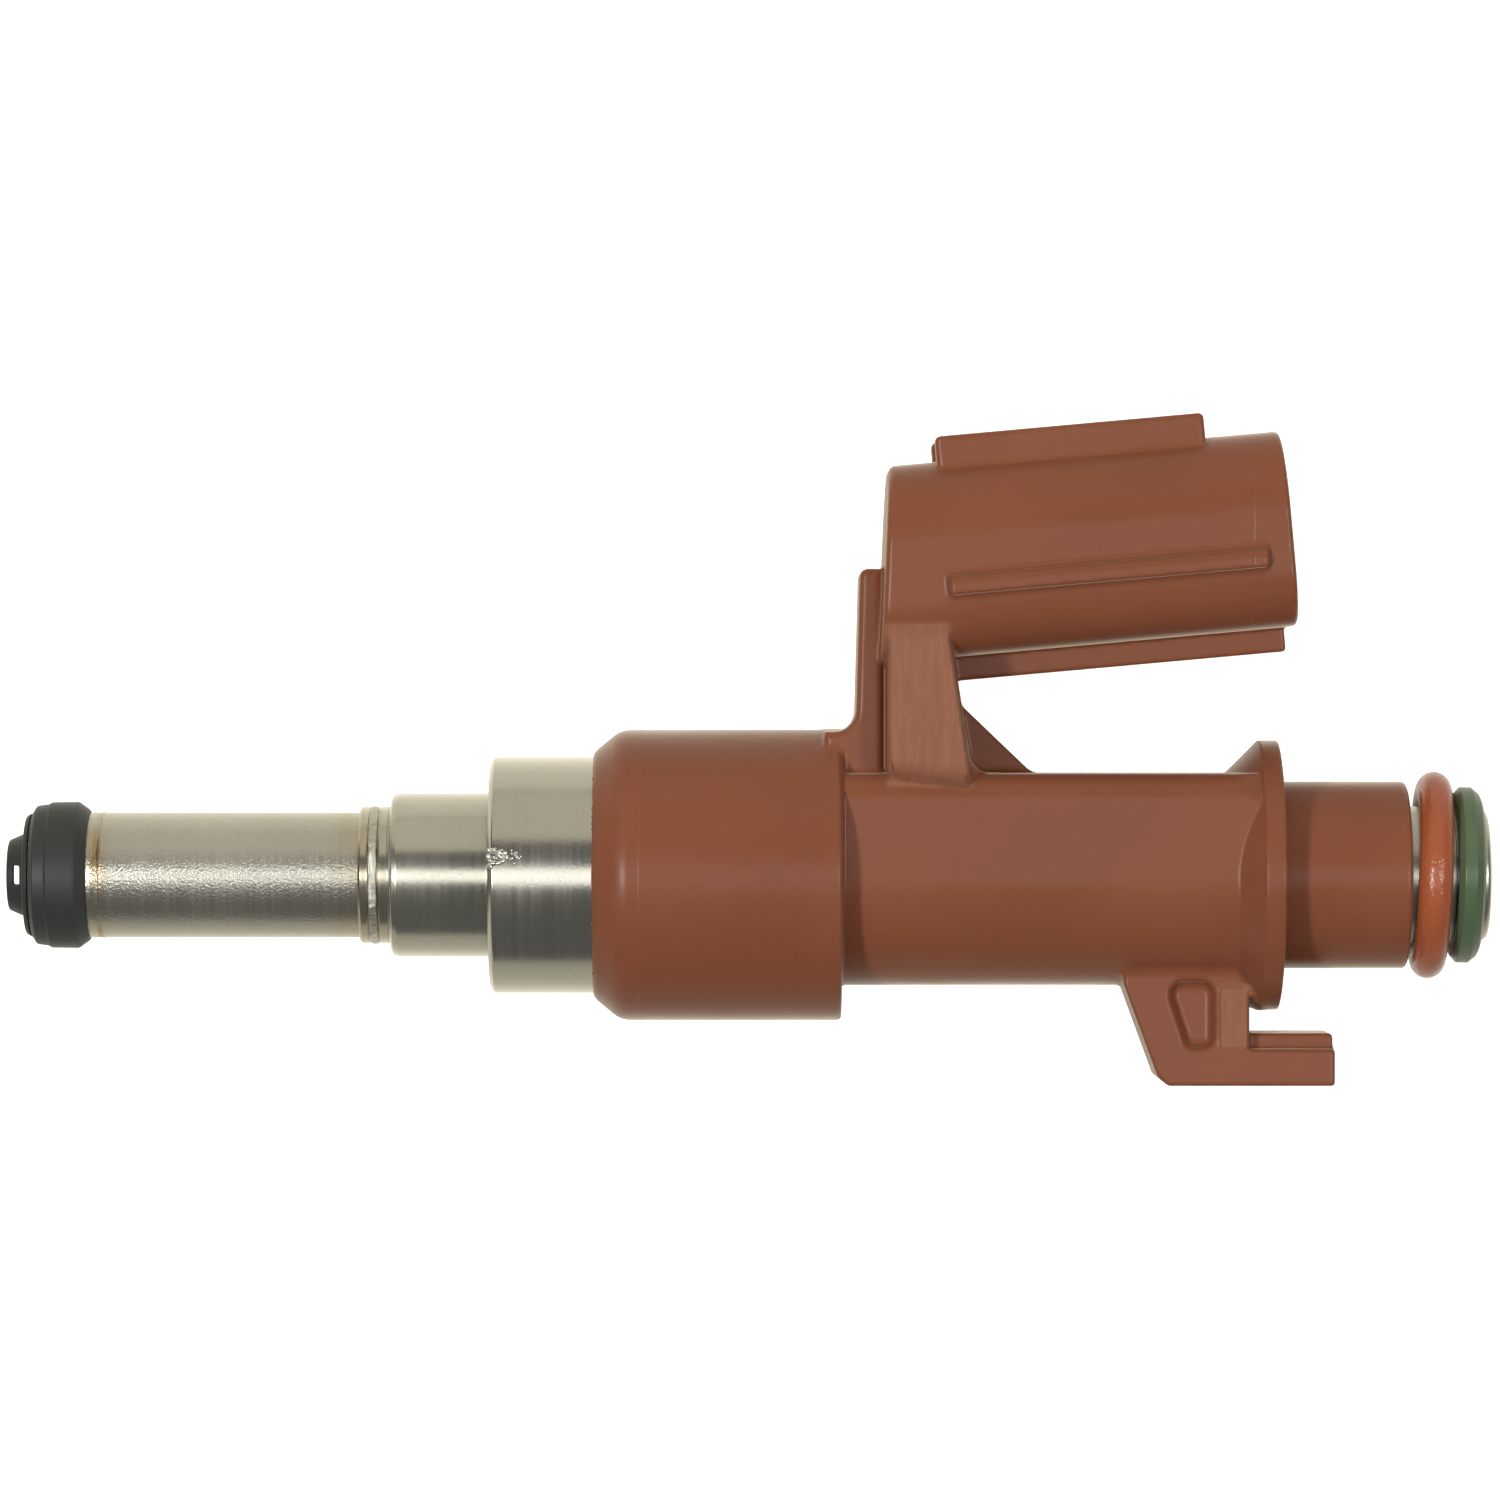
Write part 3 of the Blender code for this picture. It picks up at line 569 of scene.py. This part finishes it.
def tab(x, y, z):
    """Hook for the retaining clip, with a sink pocket and a raised pad on each side."""
    web_half, finger_half, pad_half, pocket_half = 3.05, 2.1, 3.17, 2.3
    web = plate_field(x, y, z, TAB, web_half, 0.24)
    finger = plate_field(x, y, z, FINGER, finger_half, 0.2)
    neck = plate_field(x, y, z, NECK, web_half, 0.1)
    neck = both(neck, np.hypot(y, z) - FLANGE_R + 0.13, 0.1)
    hook = either(either(web, finger, 0.2), neck, 0.1)
    pad = both(rounded_rectangle(x - 63.5, y + 7.45, 0.74, 1.66, 0.15), np.abs(z) - pad_half, 0.12)
    pocket = both(inside_outline(x, y, POCKET), pocket_half - np.abs(z), 0.5)
    return without(either(hook, pad, 0.1), pocket, 0.35)


def socket_section(side, up, inset):
    low = rounded_rectangle(side, up, SOCKET_HALF_WIDTH - inset, SOCKET_HALF_HEIGHT - inset,
                            3.1 - inset * 0.6)
    top = rounded_rectangle(side, up, SOCKET_HALF_WIDTH - inset, SOCKET_HALF_HEIGHT - inset,
                            4.3 - inset * 0.8)
    return np.where(up < 0, low, top)


def along_socket(x, up):
    return (x - SOCKET_X + up * math.sin(TILT)) / math.cos(TILT)


def socket(x, y, z):
    """Socket shell with its guide rails, latch ramp, lower rail and side ribs, and its cavity."""
    along = (x - SOCKET_X) * math.cos(TILT) + (y - SOCKET_Y) * math.sin(TILT)
    up = (y - SOCKET_Y) * math.cos(TILT) - (x - SOCKET_X) * math.sin(TILT)
    side = np.abs(z)
    shell = both(socket_section(z, up, 0.0), SOCKET_REAR_X + SOCKET_REAR_LEAN * up - x, 0.35)
    shell = both(shell, along - SOCKET_MOUTH, 0.28)
    top = SOCKET_HALF_HEIGHT
    rail_side, rail_up = 3.8, 4.6
    rail = rounded_rectangle(side - rail_side, up - rail_up, 0.8, top + RAIL_RISE - rail_up, 0.22)
    rail = both(rail, between(along, along_socket(47.85, top), along_socket(61.9, top)), 0.3)
    lower_up = 5.0
    lower = rounded_rectangle(side, up + lower_up, 1.0, top + RAIL_RISE - lower_up, 0.2)
    lower = both(lower, between(along, along_socket(46.0, -top), along_socket(66.27, -top)), 0.2)
    rib = rounded_rectangle(side - 6.6, up + 1.5, 1.06, 0.5, 0.18)
    rib = both(rib, between(along, along_socket(48.35, 0), along_socket(64.85, 0)), 0.2)
    rib = both(rib, (side - 7.66 + up + 1.3) / math.sqrt(2), 0.1)
    ramp_start, ramp_end = along_socket(58.2, top), along_socket(61.2, top)
    ramp = inside_outline(along, up, [(ramp_start, top - 0.6), (ramp_end, top - 0.6),
                                      (ramp_end, top + 0.15), (ramp_start + 0.4, top + 1.0),
                                      (ramp_start, top + 1.0)])
    ramp = both(ramp, side - 1.5, 0.12)
    trim = either(either(rail, ramp), lower)
    cavity = both(socket_section(z, up, SOCKET_WALL), SOCKET_FLOOR - along, 0.3)
    return either(either(shell, trim, 0.14), rib, 0.35), cavity


def moulded_body(x, y, z):
    """Distance to the whole plastic overmould, in millimetres."""
    field = round_shapes(x, y, z)
    if near(x, 42, 52):
        core, pads, fin = arm(x, y, z)
        field = either(field, core, 0.15)
        field = either(field, fin, 0.3)
        field = either(field, pads, 0.12)
        field = either(field, plate_field(x, y, z, GUSSET, 1.0, 0.12), 0.3)
    if near(x, 44, 68):
        shell, cavity = socket(x, y, z)
        field = without(either(field, shell, 0.3), cavity, 0.25)
    if near(x, 57, 69):
        field = either(field, tab(x, y, z), 0.35)
    off = np.hypot(y, z)
    gap, bore_end_x = 0.03, 39.05
    sleeve_bore = both(off - HOUSING_R - gap, x - bore_end_x)
    return without(field, np.minimum(sleeve_bore, off - TUBE_R - gap))


def make_moulded_body():
    frosted = [((45.9, 4.7, 5.5), (50.5, 13.2, 7.0), 0.15), ((62.7, -9.2, 3.0), (64.4, -5.7, 3.5), 0.0)]
    mat = moulded("brown_plastic", (0.270, 0.088, 0.041), (0.239, 0.077, 0.036), 0.335, frost=frosted,
                  frost_colour=(0.37, 0.165, 0.095), Specular_IOR_Level=0.24, Sheen_Weight=0.42,
                  Sheen_Roughness=0.3, Sheen_Tint=(1.0, 0.88, 0.66, 1.0),
                  seams=((64.3, 13.0, 20.8), (32.3, -8.0, 8.0)))
    low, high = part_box("moulded_body")
    cell = 0.16
    margin = 2 * cell
    sculpted("overmould", moulded_body, np.array(low) / MM - margin, np.array(high) / MM + margin,
             cell, 0.38, mat, ["moulded_body"])


# ---------------------------------------------------------------- nozzle, valve and solenoid

CAP = rounded([(-1.08, 1.28, 0.1), (-1.08, 1.84, 0.18), (-0.2, 2.22, 0.12), (-0.13, 3.12, 0.12),
               (0.2, 3.3, 0.2), (0.42, 3.66, 0.18), (1.05, 3.75, 0.08), (1.2, 3.85, 0.1),
               (2.62, 3.87, 0.25), (3.2, 3.45, 0.12), (3.2, 3.3, 0.03), (0.12, 3.3, 0.05),
               (0.12, 1.28, 0.05)])


def cap(x, y, z):
    """Nozzle guard: turned outline with a slanting window through each side of its hood."""
    field = inside_outline(x, np.hypot(y, z), CAP)
    window = rounded_rectangle(x + 0.7 - 0.08 * z, y, 0.175, 0.52, 0.1)
    return without(field, window, 0.05)


def make_cap():
    mat = moulded("black_plastic", (0.038, 0.043, 0.037), (0.030, 0.034, 0.029), 0.5, grain=3000,
                  Specular_IOR_Level=0.4, Sheen_Weight=0.1, Sheen_Roughness=0.4)
    low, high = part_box("nozzle_cap")
    cell = 0.055
    sculpted("nozzle_guard", cap, np.array(low) / MM - 2 * cell, np.array(high) / MM + 2 * cell, cell,
             0.5, mat, ["nozzle_cap"])


def wavering(depth, lobes, low, high, seed):
    """Gives a turned piece an uneven radius between two places along its axis, as a weld has."""
    draw = np.random.RandomState(seed)
    waves = [(k, draw.uniform(0, math.tau), draw.uniform(0.4, 1.0)) for k in lobes]
    lean = 7.0  # how far the waves turn in each millimetre along the axis, in radians

    def shape(points, angle):
        radius = np.hypot(points[..., 1], points[..., 2])
        seam = (points[..., 0] > low) & (points[..., 0] < high) & (radius > 3.2)
        for k, phase, weight in waves:
            wave = np.sin(k * angle[:, None] + phase + lean * points[..., 0])
            push = depth * weight * wave * seam / radius
            points[..., 1:] *= 1 + push[..., None]
        return points

    return shape


GOLD = (0.46, 0.29, 0.10)
UMBER = (0.10, 0.045, 0.015)
STRAW = (0.56, 0.44, 0.24)


def make_nozzle():
    tube_steel = turned_steel("nozzle_steel", (0.64, 0.62, 0.53), (0.55, 0.53, 0.45), 0.33, lathe=0.5,
                              grain=2.6e-5, speckle=7000,
                              stains=((3.75, 0.6, 0.4, STRAW), (3.72, 0.1, 0.8, GOLD),
                                      (3.86, 0.045, 0.9, UMBER), (3.95, 0.07, 0.6, GOLD),
                                      (16.9, 0.6, 0.35, STRAW)))
    turned("nozzle_tube", [
        (0.16, 2.5, 0.05), (0.16, 3.295, 0.15), (3.38, 3.295, 0), (3.48, 3.33, 0.05), (3.58, 3.30, 0.05),
        (3.86, 3.30, 0.05), (3.95, 3.34, 0.04), (4.05, 3.295, 0), (19.6, 3.295, 0.1), (19.6, 2.5, 0.1)],
        tube_steel, ["valve_holder"])
    body_steel = turned_steel("body_steel", (0.66, 0.64, 0.54), (0.56, 0.54, 0.46), 0.22,
                              stains=((17.75, 0.25, 0.45, STRAW), (18.0, 0.05, 0.5, GOLD),
                                      (18.56, 0.06, 0.55, UMBER), (18.75, 0.25, 0.4, STRAW)),
                              beads=((18.28, 0.24),))
    turned("valve_body_shell", [
        (17.5, 3.325, 0.02), (17.5, 3.50, 0.06), (17.64, 3.61, 0.05), (17.93, 3.60, 0.04),
        (18.0, 3.565, 0.02),
        (18.07, 3.61, 0.04), (18.28, 3.65, 0.06), (18.49, 3.61, 0.04), (18.56, 3.555, 0.02),
        (18.63, 3.61, 0.03), (19.02, 3.61, 0.02), (19.05, 3.57, 0.02), (19.1, 3.62, 0.02),
        (19.15, 3.62, 0.01), (19.15, 4.0, 0.1), (19.27, 4.22, 0.1), (19.55, 4.31, 0.3), (24.47, 4.31, 0.04),
        (24.47, 3.38, 0.1), (28.2, 3.38, 0.1), (28.2, 2.72, 0.1), (19.75, 2.72, 0.1), (19.75, 3.325, 0.05)],
        body_steel, ["valve_body"], turns=288,
        shape=wavering(0.012, (9, 14, 23, 37, 51), 18.05, 18.51, 5))
    housing_steel = turned_steel("housing_steel", (0.65, 0.63, 0.54), (0.56, 0.54, 0.46), 0.215)
    turned("coil_housing", [
        (24.5, 4.38, 0.03), (24.39, 4.48, 0.05), (24.39, 5.9, 0.12), (24.62, HOUSING_R, 0.16),
        (38.95, HOUSING_R, 0.1), (38.95, 5.6, 0.05), (26.0, 5.6, 0.1), (26.0, 3.43, 0.05),
        (24.5, 3.43, 0.05)],
        housing_steel, ["solenoid_housing"])
    make_spatter()


def make_spatter():
    """Lumpy weld spatter where the housing meets the shoulder, with a short tail along the housing."""
    draw = np.random.RandomState(11)
    drops = []
    for _ in range(30):
        along = draw.uniform(0, 1) ** 1.3
        across = draw.uniform(-1, 1) * (1.0 - 0.7 * along)
        drops.append((24.5 + 1.0 * along, 1.06 + 0.6 * across, draw.uniform(0.10, 0.17)))
    for _ in range(12):
        drops.append((draw.uniform(25.4, 26.3), 1.14 + draw.normal(0, 0.12), draw.uniform(0.05, 0.09)))
    heights = draw.uniform(-0.6, 0.5, len(drops))

    def lumps(x, y, z):
        field = np.full(x.shape, FAR)
        for (drop_x, drop_y, size), height in zip(drops, heights):
            radius = HOUSING_R - max(24.62 - drop_x, 0) * 1.4
            drop_z = math.sqrt(radius ** 2 - drop_y ** 2) + size * height
            away = np.sqrt((x - drop_x) ** 2 + (y - drop_y) ** 2 + (z - drop_z) ** 2)
            field = np.minimum(field, away - size)
        return field

    steel = turned_steel("spatter_steel", (0.97, 0.96, 0.92), (0.90, 0.88, 0.82), 0.17)
    cell = 0.028
    sculpted("weld_spatter", lumps, (24.2, 0.2, 5.5), (26.6, 1.95, 6.6), cell, 1.0, steel,
             [])


def tilted(centre_x, lean_y, lean_z):
    """Leans a turned piece by two small angles in degrees about its middle, as a seal sits."""
    turn_y, turn_z = math.radians(lean_y), math.radians(lean_z)
    spin_y = np.array([[math.cos(turn_y), 0, math.sin(turn_y)], [0, 1, 0],
                       [-math.sin(turn_y), 0, math.cos(turn_y)]])
    spin_z = np.array([[math.cos(turn_z), -math.sin(turn_z), 0],
                       [math.sin(turn_z), math.cos(turn_z), 0], [0, 0, 1]])
    centre = np.array([centre_x, 0.0, 0.0])
    return lambda points, angle: (points - centre) @ (spin_z @ spin_y).T + centre


def make_inlet():
    steel = turned_steel("tube_steel", (0.66, 0.64, 0.55), (0.55, 0.53, 0.46), 0.30)
    turned("rail_tube", [
        (41.5, 2.6, 0.05), (41.5, 3.4, 0.1), (72.8, 3.4, 0), (72.8, 3.63, 0.05), (75.16, 3.63, 0.05),
        (75.16, 3.45, 0), (77.0, 3.45, 0.3), (77.0, 2.6, 0.25)],
        steel, ["inlet_tube"])
    rubber = moulded("orange_rubber", (0.47, 0.125, 0.048), (0.36, 0.085, 0.030), 0.14, grain=5200,
                     depth=3.2e-5, Specular_IOR_Level=0.5)
    ring_x, ring_r, wire_r = 74.07, 4.57, 0.9
    facets = 40
    section = [(ring_x + wire_r * math.cos(a), ring_r + wire_r * math.sin(a), 0.0)
               for a in np.arange(facets) * math.tau / facets]
    turned("o_ring", section, rubber, ["rail_o_ring"], shape=tilted(ring_x, -1.5, -2.2))
    green = moulded("green_plastic", (0.114, 0.168, 0.088), (0.086, 0.132, 0.066), 0.34, depth=3e-6)
    turned("seal_retainer", [
        (75.2, 3.5, 0.05), (75.2, 4.3, 0.06), (75.5, 4.64, 0.1), (76.1, 4.64, 0.1),
        (76.48, 4.33, 0.08), (76.62, 4.05, 0.1), (76.62, 3.5, 0.08)],
        green, ["retainer_ring"], shape=tilted(75.9, 0.0, -1.2))


# ---------------------------------------------------------------- valve, solenoid and filter inside

def disc_holes(y, z, count, ring, radius):
    """Distance to the nearest of a ring of holes along X."""
    field = np.full(y.shape, FAR)
    first = 0.37  # where the first hole lies, as a share of the step between holes
    for i in range(count):
        angle = (i + first) * math.tau / count
        hole = np.hypot(y - ring * math.cos(angle), z - ring * math.sin(angle)) - radius
        field = np.minimum(field, hole)
    return field


def orifice_plate(x, y, z):
    off = np.hypot(y, z)
    step = both(off - 1.15, between(x, 0.0, 0.32), 0.02)
    disc = both(off - 2.47, between(x, 0.16, 0.32), 0.03)
    return without(either(step, disc, 0.03), disc_holes(y, z, 8, 0.55, 0.09), 0.015)


def guide(x, y, z):
    off = np.hypot(y, z)
    disc = both(both(off - 2.47, 1.25 - off, 0.05), between(x, 1.98, 2.7), 0.06)
    return without(disc, disc_holes(y, z, 5, 1.86, 0.32), 0.05)


def ball(x, y, z):
    return np.sqrt((x - 2.3) ** 2 + y * y + z * z) - 1.2


def needle(x, y, z):
    off = np.hypot(y, z)
    tube = both(both(off - 1.1, 0.7 - off, 0.06), between(x, 3.295, 27.3), 0.08)
    ports = np.minimum(np.hypot(x - 5.2, y), np.hypot(x - 22.4, y)) - 0.35
    return without(tube, ports, 0.05)


def washer(x, y, z):
    off = np.hypot(y, z)
    disc = both(both(off - 5.57, 3.43 - off, 0.1), between(x, 37.6, 38.92), 0.12)
    slots = both(np.abs(np.abs(z) - 2.0) - 0.8, 4.2 - y)
    return without(disc, slots, 0.06)


def filter_basket(x, y, z):
    off = np.hypot(y, z)
    rim = both(both(off - 2.55, 2.03 - off, 0.08), between(x, 75.6, 76.6), 0.1)
    end = both(off - 2.45, between(x, 65.5, 66.1), 0.1)
    ribs = both(np.minimum(np.abs(y), np.abs(z)) - 0.3, both(off - 2.45, 2.03 - off), 0.06)
    ribs = both(ribs, between(x, 65.8, 75.9))
    return either(either(rim, end), ribs, 0.12)


def terminal(x, y, z, centre_z):
    """Flat blade with a tapered tip in the socket, on a stem bent down the arm."""
    along = (x - SOCKET_X) * math.cos(TILT) + (y - SOCKET_Y) * math.sin(TILT)
    up = (y - SOCKET_Y) * math.cos(TILT) - (x - SOCKET_X) * math.sin(TILT)
    side = np.abs(z - centre_z)
    taper = np.clip((along - 10.1) / 1.2, 0, 1)
    blade = both(np.abs(up) - 0.32 + 0.2 * taper, side - 1.1 + 0.45 * taper, 0.07)
    blade = both(blade, between(along, -1.9, 11.3), 0.06)
    rise = both(between(x, 46.4, 46.9), between(y, 4.3, 16.5), 0.05)
    run = both(between(x, 37.12, 46.9), between(y, 4.3, 4.8), 0.05)
    return either(blade, both(either(rise, run, 0.3), side - 0.65, 0.05), 0.05)


def coil_tube(name, mat, nodes, turns, per_turn, sides, coil_r, wire_r, start, end):
    """Round wire wound in a helix about the X axis."""
    points, faces = [], []
    count = turns * per_turn + 1
    lead = (end - start) / (turns * math.tau)
    for i in range(count):
        angle = math.tau * i / per_turn
        outward = Vector((0, math.cos(angle), math.sin(angle)))
        forward = Vector((lead, -coil_r * math.sin(angle), coil_r * math.cos(angle))).normalized()
        across = forward.cross(outward)
        centre = Vector((start + lead * angle, 0, 0)) + outward * coil_r
        for j in range(sides):
            turn = math.tau * j / sides
            points.append(tuple(centre + (outward * math.cos(turn) + across * math.sin(turn)) * wire_r))
    for i in range(count - 1):
        for j in range(sides):
            a, b = i * sides + j, i * sides + (j + 1) % sides
            faces.append((a, b, b + sides, a + sides))
    faces.append(tuple(range(sides)))
    faces.append(tuple(range((count - 1) * sides, count * sides))[::-1])
    obj = add_mesh(name, points, faces, mat, BODY, nodes)
    bm = bmesh.new()
    bm.from_mesh(obj.data)
    bmesh.ops.recalc_face_normals(bm, faces=bm.faces)
    bm.to_mesh(obj.data)
    bm.free()
    return obj


def make_inside():
    fine = 1.0
    bright = turned_steel("seat_steel", (0.66, 0.65, 0.60), (0.56, 0.55, 0.50), 0.24)
    plate = turned_steel("plate_steel", (0.68, 0.66, 0.60), (0.60, 0.58, 0.52), 0.22, lathe=0.3)
    polished = turned_steel("ball_steel", (0.78, 0.78, 0.78), (0.72, 0.72, 0.72), 0.10, lathe=0.1)
    magnetic = turned_steel("magnetic_steel", (0.52, 0.51, 0.48), (0.42, 0.41, 0.39), 0.36)
    sculpted("orifice_disc", orifice_plate, (-0.1, -2.6, -2.6), (0.42, 2.6, 2.6), 0.04 * fine, 0.5, plate,
             ["spray_plate"])
    turned("seat_cone", [
        (0.34, 0.5, 0.03), (0.34, 2.47, 0.05), (1.95, 2.47, 0.05), (1.95, 1.375, 0.03), (1.07, 0.5, 0.02)],
        bright, ["valve_seat"])
    sculpted("guide_ring", guide, (1.85, -2.6, -2.6), (2.85, 2.6, 2.6), 0.07 * fine, 0.6, bright,
             ["ball_guide"])
    sculpted("needle_ball", ball, (1.0, -1.3, -1.3), (3.6, 1.3, 1.3), 0.07 * fine, 1.0, polished,
             ["valve_ball"], body=NEEDLE)
    stem = turned_steel("needle_steel", (0.64, 0.63, 0.58), (0.55, 0.54, 0.49), 0.26)
    sculpted("needle_stem", needle, (3.1, -1.2, -1.2), (27.5, 1.2, 1.2), 0.09 * fine, 0.5, stem,
             ["needle_tube"], body=NEEDLE)
    turned("armature_sleeve", [
        (24.7, 1.13, 0.03), (24.7, 2.46, 0.08), (24.9, 2.66, 0.05), (28.98, 2.66, 0.08),
        (28.98, 1.55, 0.05), (27.35, 1.55, 0.1), (27.35, 1.13, 0.03)],
        magnetic, ["armature"], body=NEEDLE)
    turned("gap_ring", [
        (28.22, 2.72, 0.05), (28.22, 3.38, 0.05), (30.4, 3.38, 0.05), (30.4, 2.72, 0.05)],
        bright, ["nonmagnetic_ring"])
    turned("core_sleeve", [
        (29.1, 1.55, 0.08), (29.1, 2.69, 0.08), (30.42, 2.69, 0), (30.42, 3.38, 0.06), (41.4, 3.38, 0.12),
        (41.4, 1.55, 0.12)], magnetic, ["fixed_core"])
    turned("spring_adjuster", [
        (34.15, 0.8, 0.06), (34.15, 1.52, 0.08), (41.0, 1.52, 0.12), (41.0, 0.8, 0.12)],
        magnetic, ["adjusting_sleeve"])
    sculpted("flux_ring", washer, (37.4, -5.7, -5.7), (39.1, 5.7, 5.7), 0.11 * fine, 0.6, magnetic,
             ["flux_washer"])
    bobbin = moulded("bobbin_plastic", (0.055, 0.055, 0.06), (0.04, 0.04, 0.045), 0.45)
    turned("bobbin", [
        (26.2, 3.44, 0.05), (26.2, 5.4, 0.15), (26.8, 5.4, 0.15), (26.8, 3.95, 0.1), (36.4, 3.95, 0.1),
        (36.4, 5.4, 0.15), (37.0, 5.4, 0.15), (37.0, 3.44, 0.05)],
        bobbin, ["coil_bobbin"])
    copper = turned_steel("copper_wire", (0.78, 0.34, 0.16), (0.66, 0.26, 0.11), 0.28)
    wire = 0.2
    wound = 47
    first_x, valley_r, crest_r = 26.85, 4.96, 5.05
    crests = []
    for i in range(wound):
        crests.append((first_x + wire * (i + 0.06), valley_r, 0))
        crests.append((first_x + wire * (i + 0.5), crest_r, 0))
        crests.append((first_x + wire * (i + 0.94), valley_r, 0))
    turned("winding", [(26.83, 3.98, 0), *crests, (36.37, 3.98, 0)], copper,
           ["coil_winding"], turns=96)
    wire_steel = turned_steel("spring_steel", (0.62, 0.61, 0.58), (0.52, 0.51, 0.48), 0.24)
    start, end, lift = 27.62, 33.85, 0.1
    spring = coil_tube("spring_coil", wire_steel, ["return_spring"], 6, 48, 12, 1.25, 0.2,
                       start, end)
    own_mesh(spring)
    basket = moulded("filter_plastic", (0.50, 0.44, 0.32), (0.42, 0.36, 0.25), 0.45)
    sculpted("strainer_basket", filter_basket, (65.3, -2.7, -2.7), (76.8, 2.7, 2.7), 0.1 * fine, 0.6,
             basket, ["filter_frame"])
    turned("strainer_screen", [
        (66.2, 0.0, 0), (66.2, 1.95, 0.1), (75.5, 1.95, 0.02), (75.5, 1.87, 0.02), (66.3, 1.87, 0.05),
        (66.3, 0.0, 0)], screen_mesh(), ["filter_screen"])
    tin = turned_steel("tinned_terminal", (0.72, 0.70, 0.63), (0.62, 0.60, 0.53), 0.24, lathe=0.4)
    for letter, centre_z in (("a", -2.0), ("b", 2.0)):
        sculpted("terminal_blade_" + letter, lambda x, y, z, c=centre_z: terminal(x, y, z, c),
                 (36.9, 4.1, centre_z - 1.3), (60.3, 18.3, centre_z + 1.3), 0.1 * fine, 0.6, tin,
                 ["terminal_" + letter])


def screen_mesh():
    """Woven strainer cloth: crossing wires that show as a fine grid of bumps, with painted shade for the
    dark holes between them.
    """
    look = Look("filter_mesh", 0.45, 0.7)
    screen_r, pitch = 1.95, 0.12
    count = math.tau * screen_r / pitch
    around = look.math("ARCTAN2", look.y, look.z)
    ring = look.math("SINE", look.math("MULTIPLY", around, count))
    row = look.math("SINE", look.math("MULTIPLY", look.x, math.tau / (pitch * MM)))
    weave = look.math("MULTIPLY", ring, row)
    # The hole colour is painted shade, standing for the dark seen through the gaps in the weave.
    hole, thread = (0.20, 0.19, 0.17), (0.62, 0.61, 0.57)
    look.colour(look.colours(look.spread(weave, -1, 1), (0.3, hole), (0.75, thread)))
    look.gloss(look.spread(weave, -1, 1, 0.6, 0.35))
    return look.bumps((weave, 2e-5))


# ---------------------------------------------------------------- light, floor and camera

def area_light(name, place, towards, size, power, colour=(1, 1, 1)):
    data = bpy.data.lights.new(name, "AREA")
    data.shape = "RECTANGLE"
    data.size, data.size_y = size
    data.energy = power
    data.color = colour
    obj = bpy.data.objects.new(name, data)
    obj.location = place
    obj.rotation_mode = "QUATERNION"
    direction = Vector(towards) - Vector(place)
    obj.rotation_quaternion = direction.to_track_quat("-Z", "Y")
    bpy.context.collection.objects.link(obj)
    return obj


def make_studio():
    """White floor that glows, painted darker on its −Y side as a shadow, a strip of light overhead, a card
    beside the socket and two small lights.
    """
    middle = (cad_low + cad_high) / 2
    half = 1.6
    mesh = bpy.data.meshes.new("floor")
    floor_z = cad_low.z - 2e-5
    corners = [(middle.x + i * half, middle.y + j * half, floor_z)
               for i, j in ((-1, -1), (1, -1), (1, 1), (-1, 1))]
    mesh.from_pydata(corners, [], [(0, 1, 2, 3)])
    floor = bpy.data.objects.new("floor", mesh)
    bpy.context.collection.objects.link(floor)
    look = Look("floor_white", 0.8)
    pale = look.colours(look.noise(30, 2.0), (0.3, (0.68, 0.66, 0.59)), (0.7, (0.72, 0.70, 0.63)))
    # Painted shadow: the floor's colour is darker on the −Y side, away from the side card that lights the
    # injector from +Y.
    look.colour(look.mix(look.spread(look.y, -0.02, 0.004), (0.42, 0.41, 0.36), pale))
    seen = look.node("ShaderNodeLightPath").outputs["Is Camera Ray"]
    look.link(look.mix(seen, (1.0, 0.96, 0.84), (1.0, 1.0, 1.0)), look.shader.inputs["Emission Color"])
    tilt = look.node("ShaderNodeLayerWeight").outputs["Facing"]
    glow = look.colours(tilt, (0.06, (0.56,) * 3), (0.3, (0.28,) * 3), (0.52, (0.16,) * 3),
                        (0.75, (0.1,) * 3))
    look.link(look.blend(seen, glow, 1.0), look.shader.inputs["Emission Strength"])
    mesh.materials.append(look.mat)
    area_light("overhead_strip", (middle.x, -0.004, 0.5), (middle.x, -0.004, 0), (0.7, 0.14), 0.53)
    area_light("side_card", (middle.x, 0.47, 0.35), (middle.x, 0, 0.35), (1.0, 0.70), 1.1,
               (1.0, 0.93, 0.80))
    area_light("left_key", (middle.x - 0.25, 0.0, 0.45), (middle.x, 0, 0), (0.05, 0.05), 1.15)
    area_light("right_fill", (middle.x + 0.28, 0.0, 0.42), (middle.x, 0, 0), (0.06, 0.06), 0.55)
    world = bpy.data.worlds.new("studio")
    world.use_nodes = True
    background = world.node_tree.nodes["Background"]
    background.inputs["Color"].default_value = (1, 1, 1, 1)
    background.inputs["Strength"].default_value = 0.12
    bpy.context.scene.world = world
    bpy.context.scene.view_settings.view_transform = "Standard"


def make_camera():
    """Looks straight down on the injector as it lies on its side."""
    middle = (cad_low + cad_high) / 2
    data = bpy.data.cameras.new("camera")
    data.sensor_width = 36
    data.lens = 168
    data.clip_start = 0.01
    camera = bpy.data.objects.new("camera", data)
    height = 0.3703
    aside = 0.00013
    camera.location = (middle.x + aside, middle.y, height)
    bpy.context.collection.objects.link(camera)
    bpy.context.scene.camera = camera


make_camera()
make_studio()
make_moulded_body()
make_cap()
make_nozzle()
make_inlet()
make_inside()
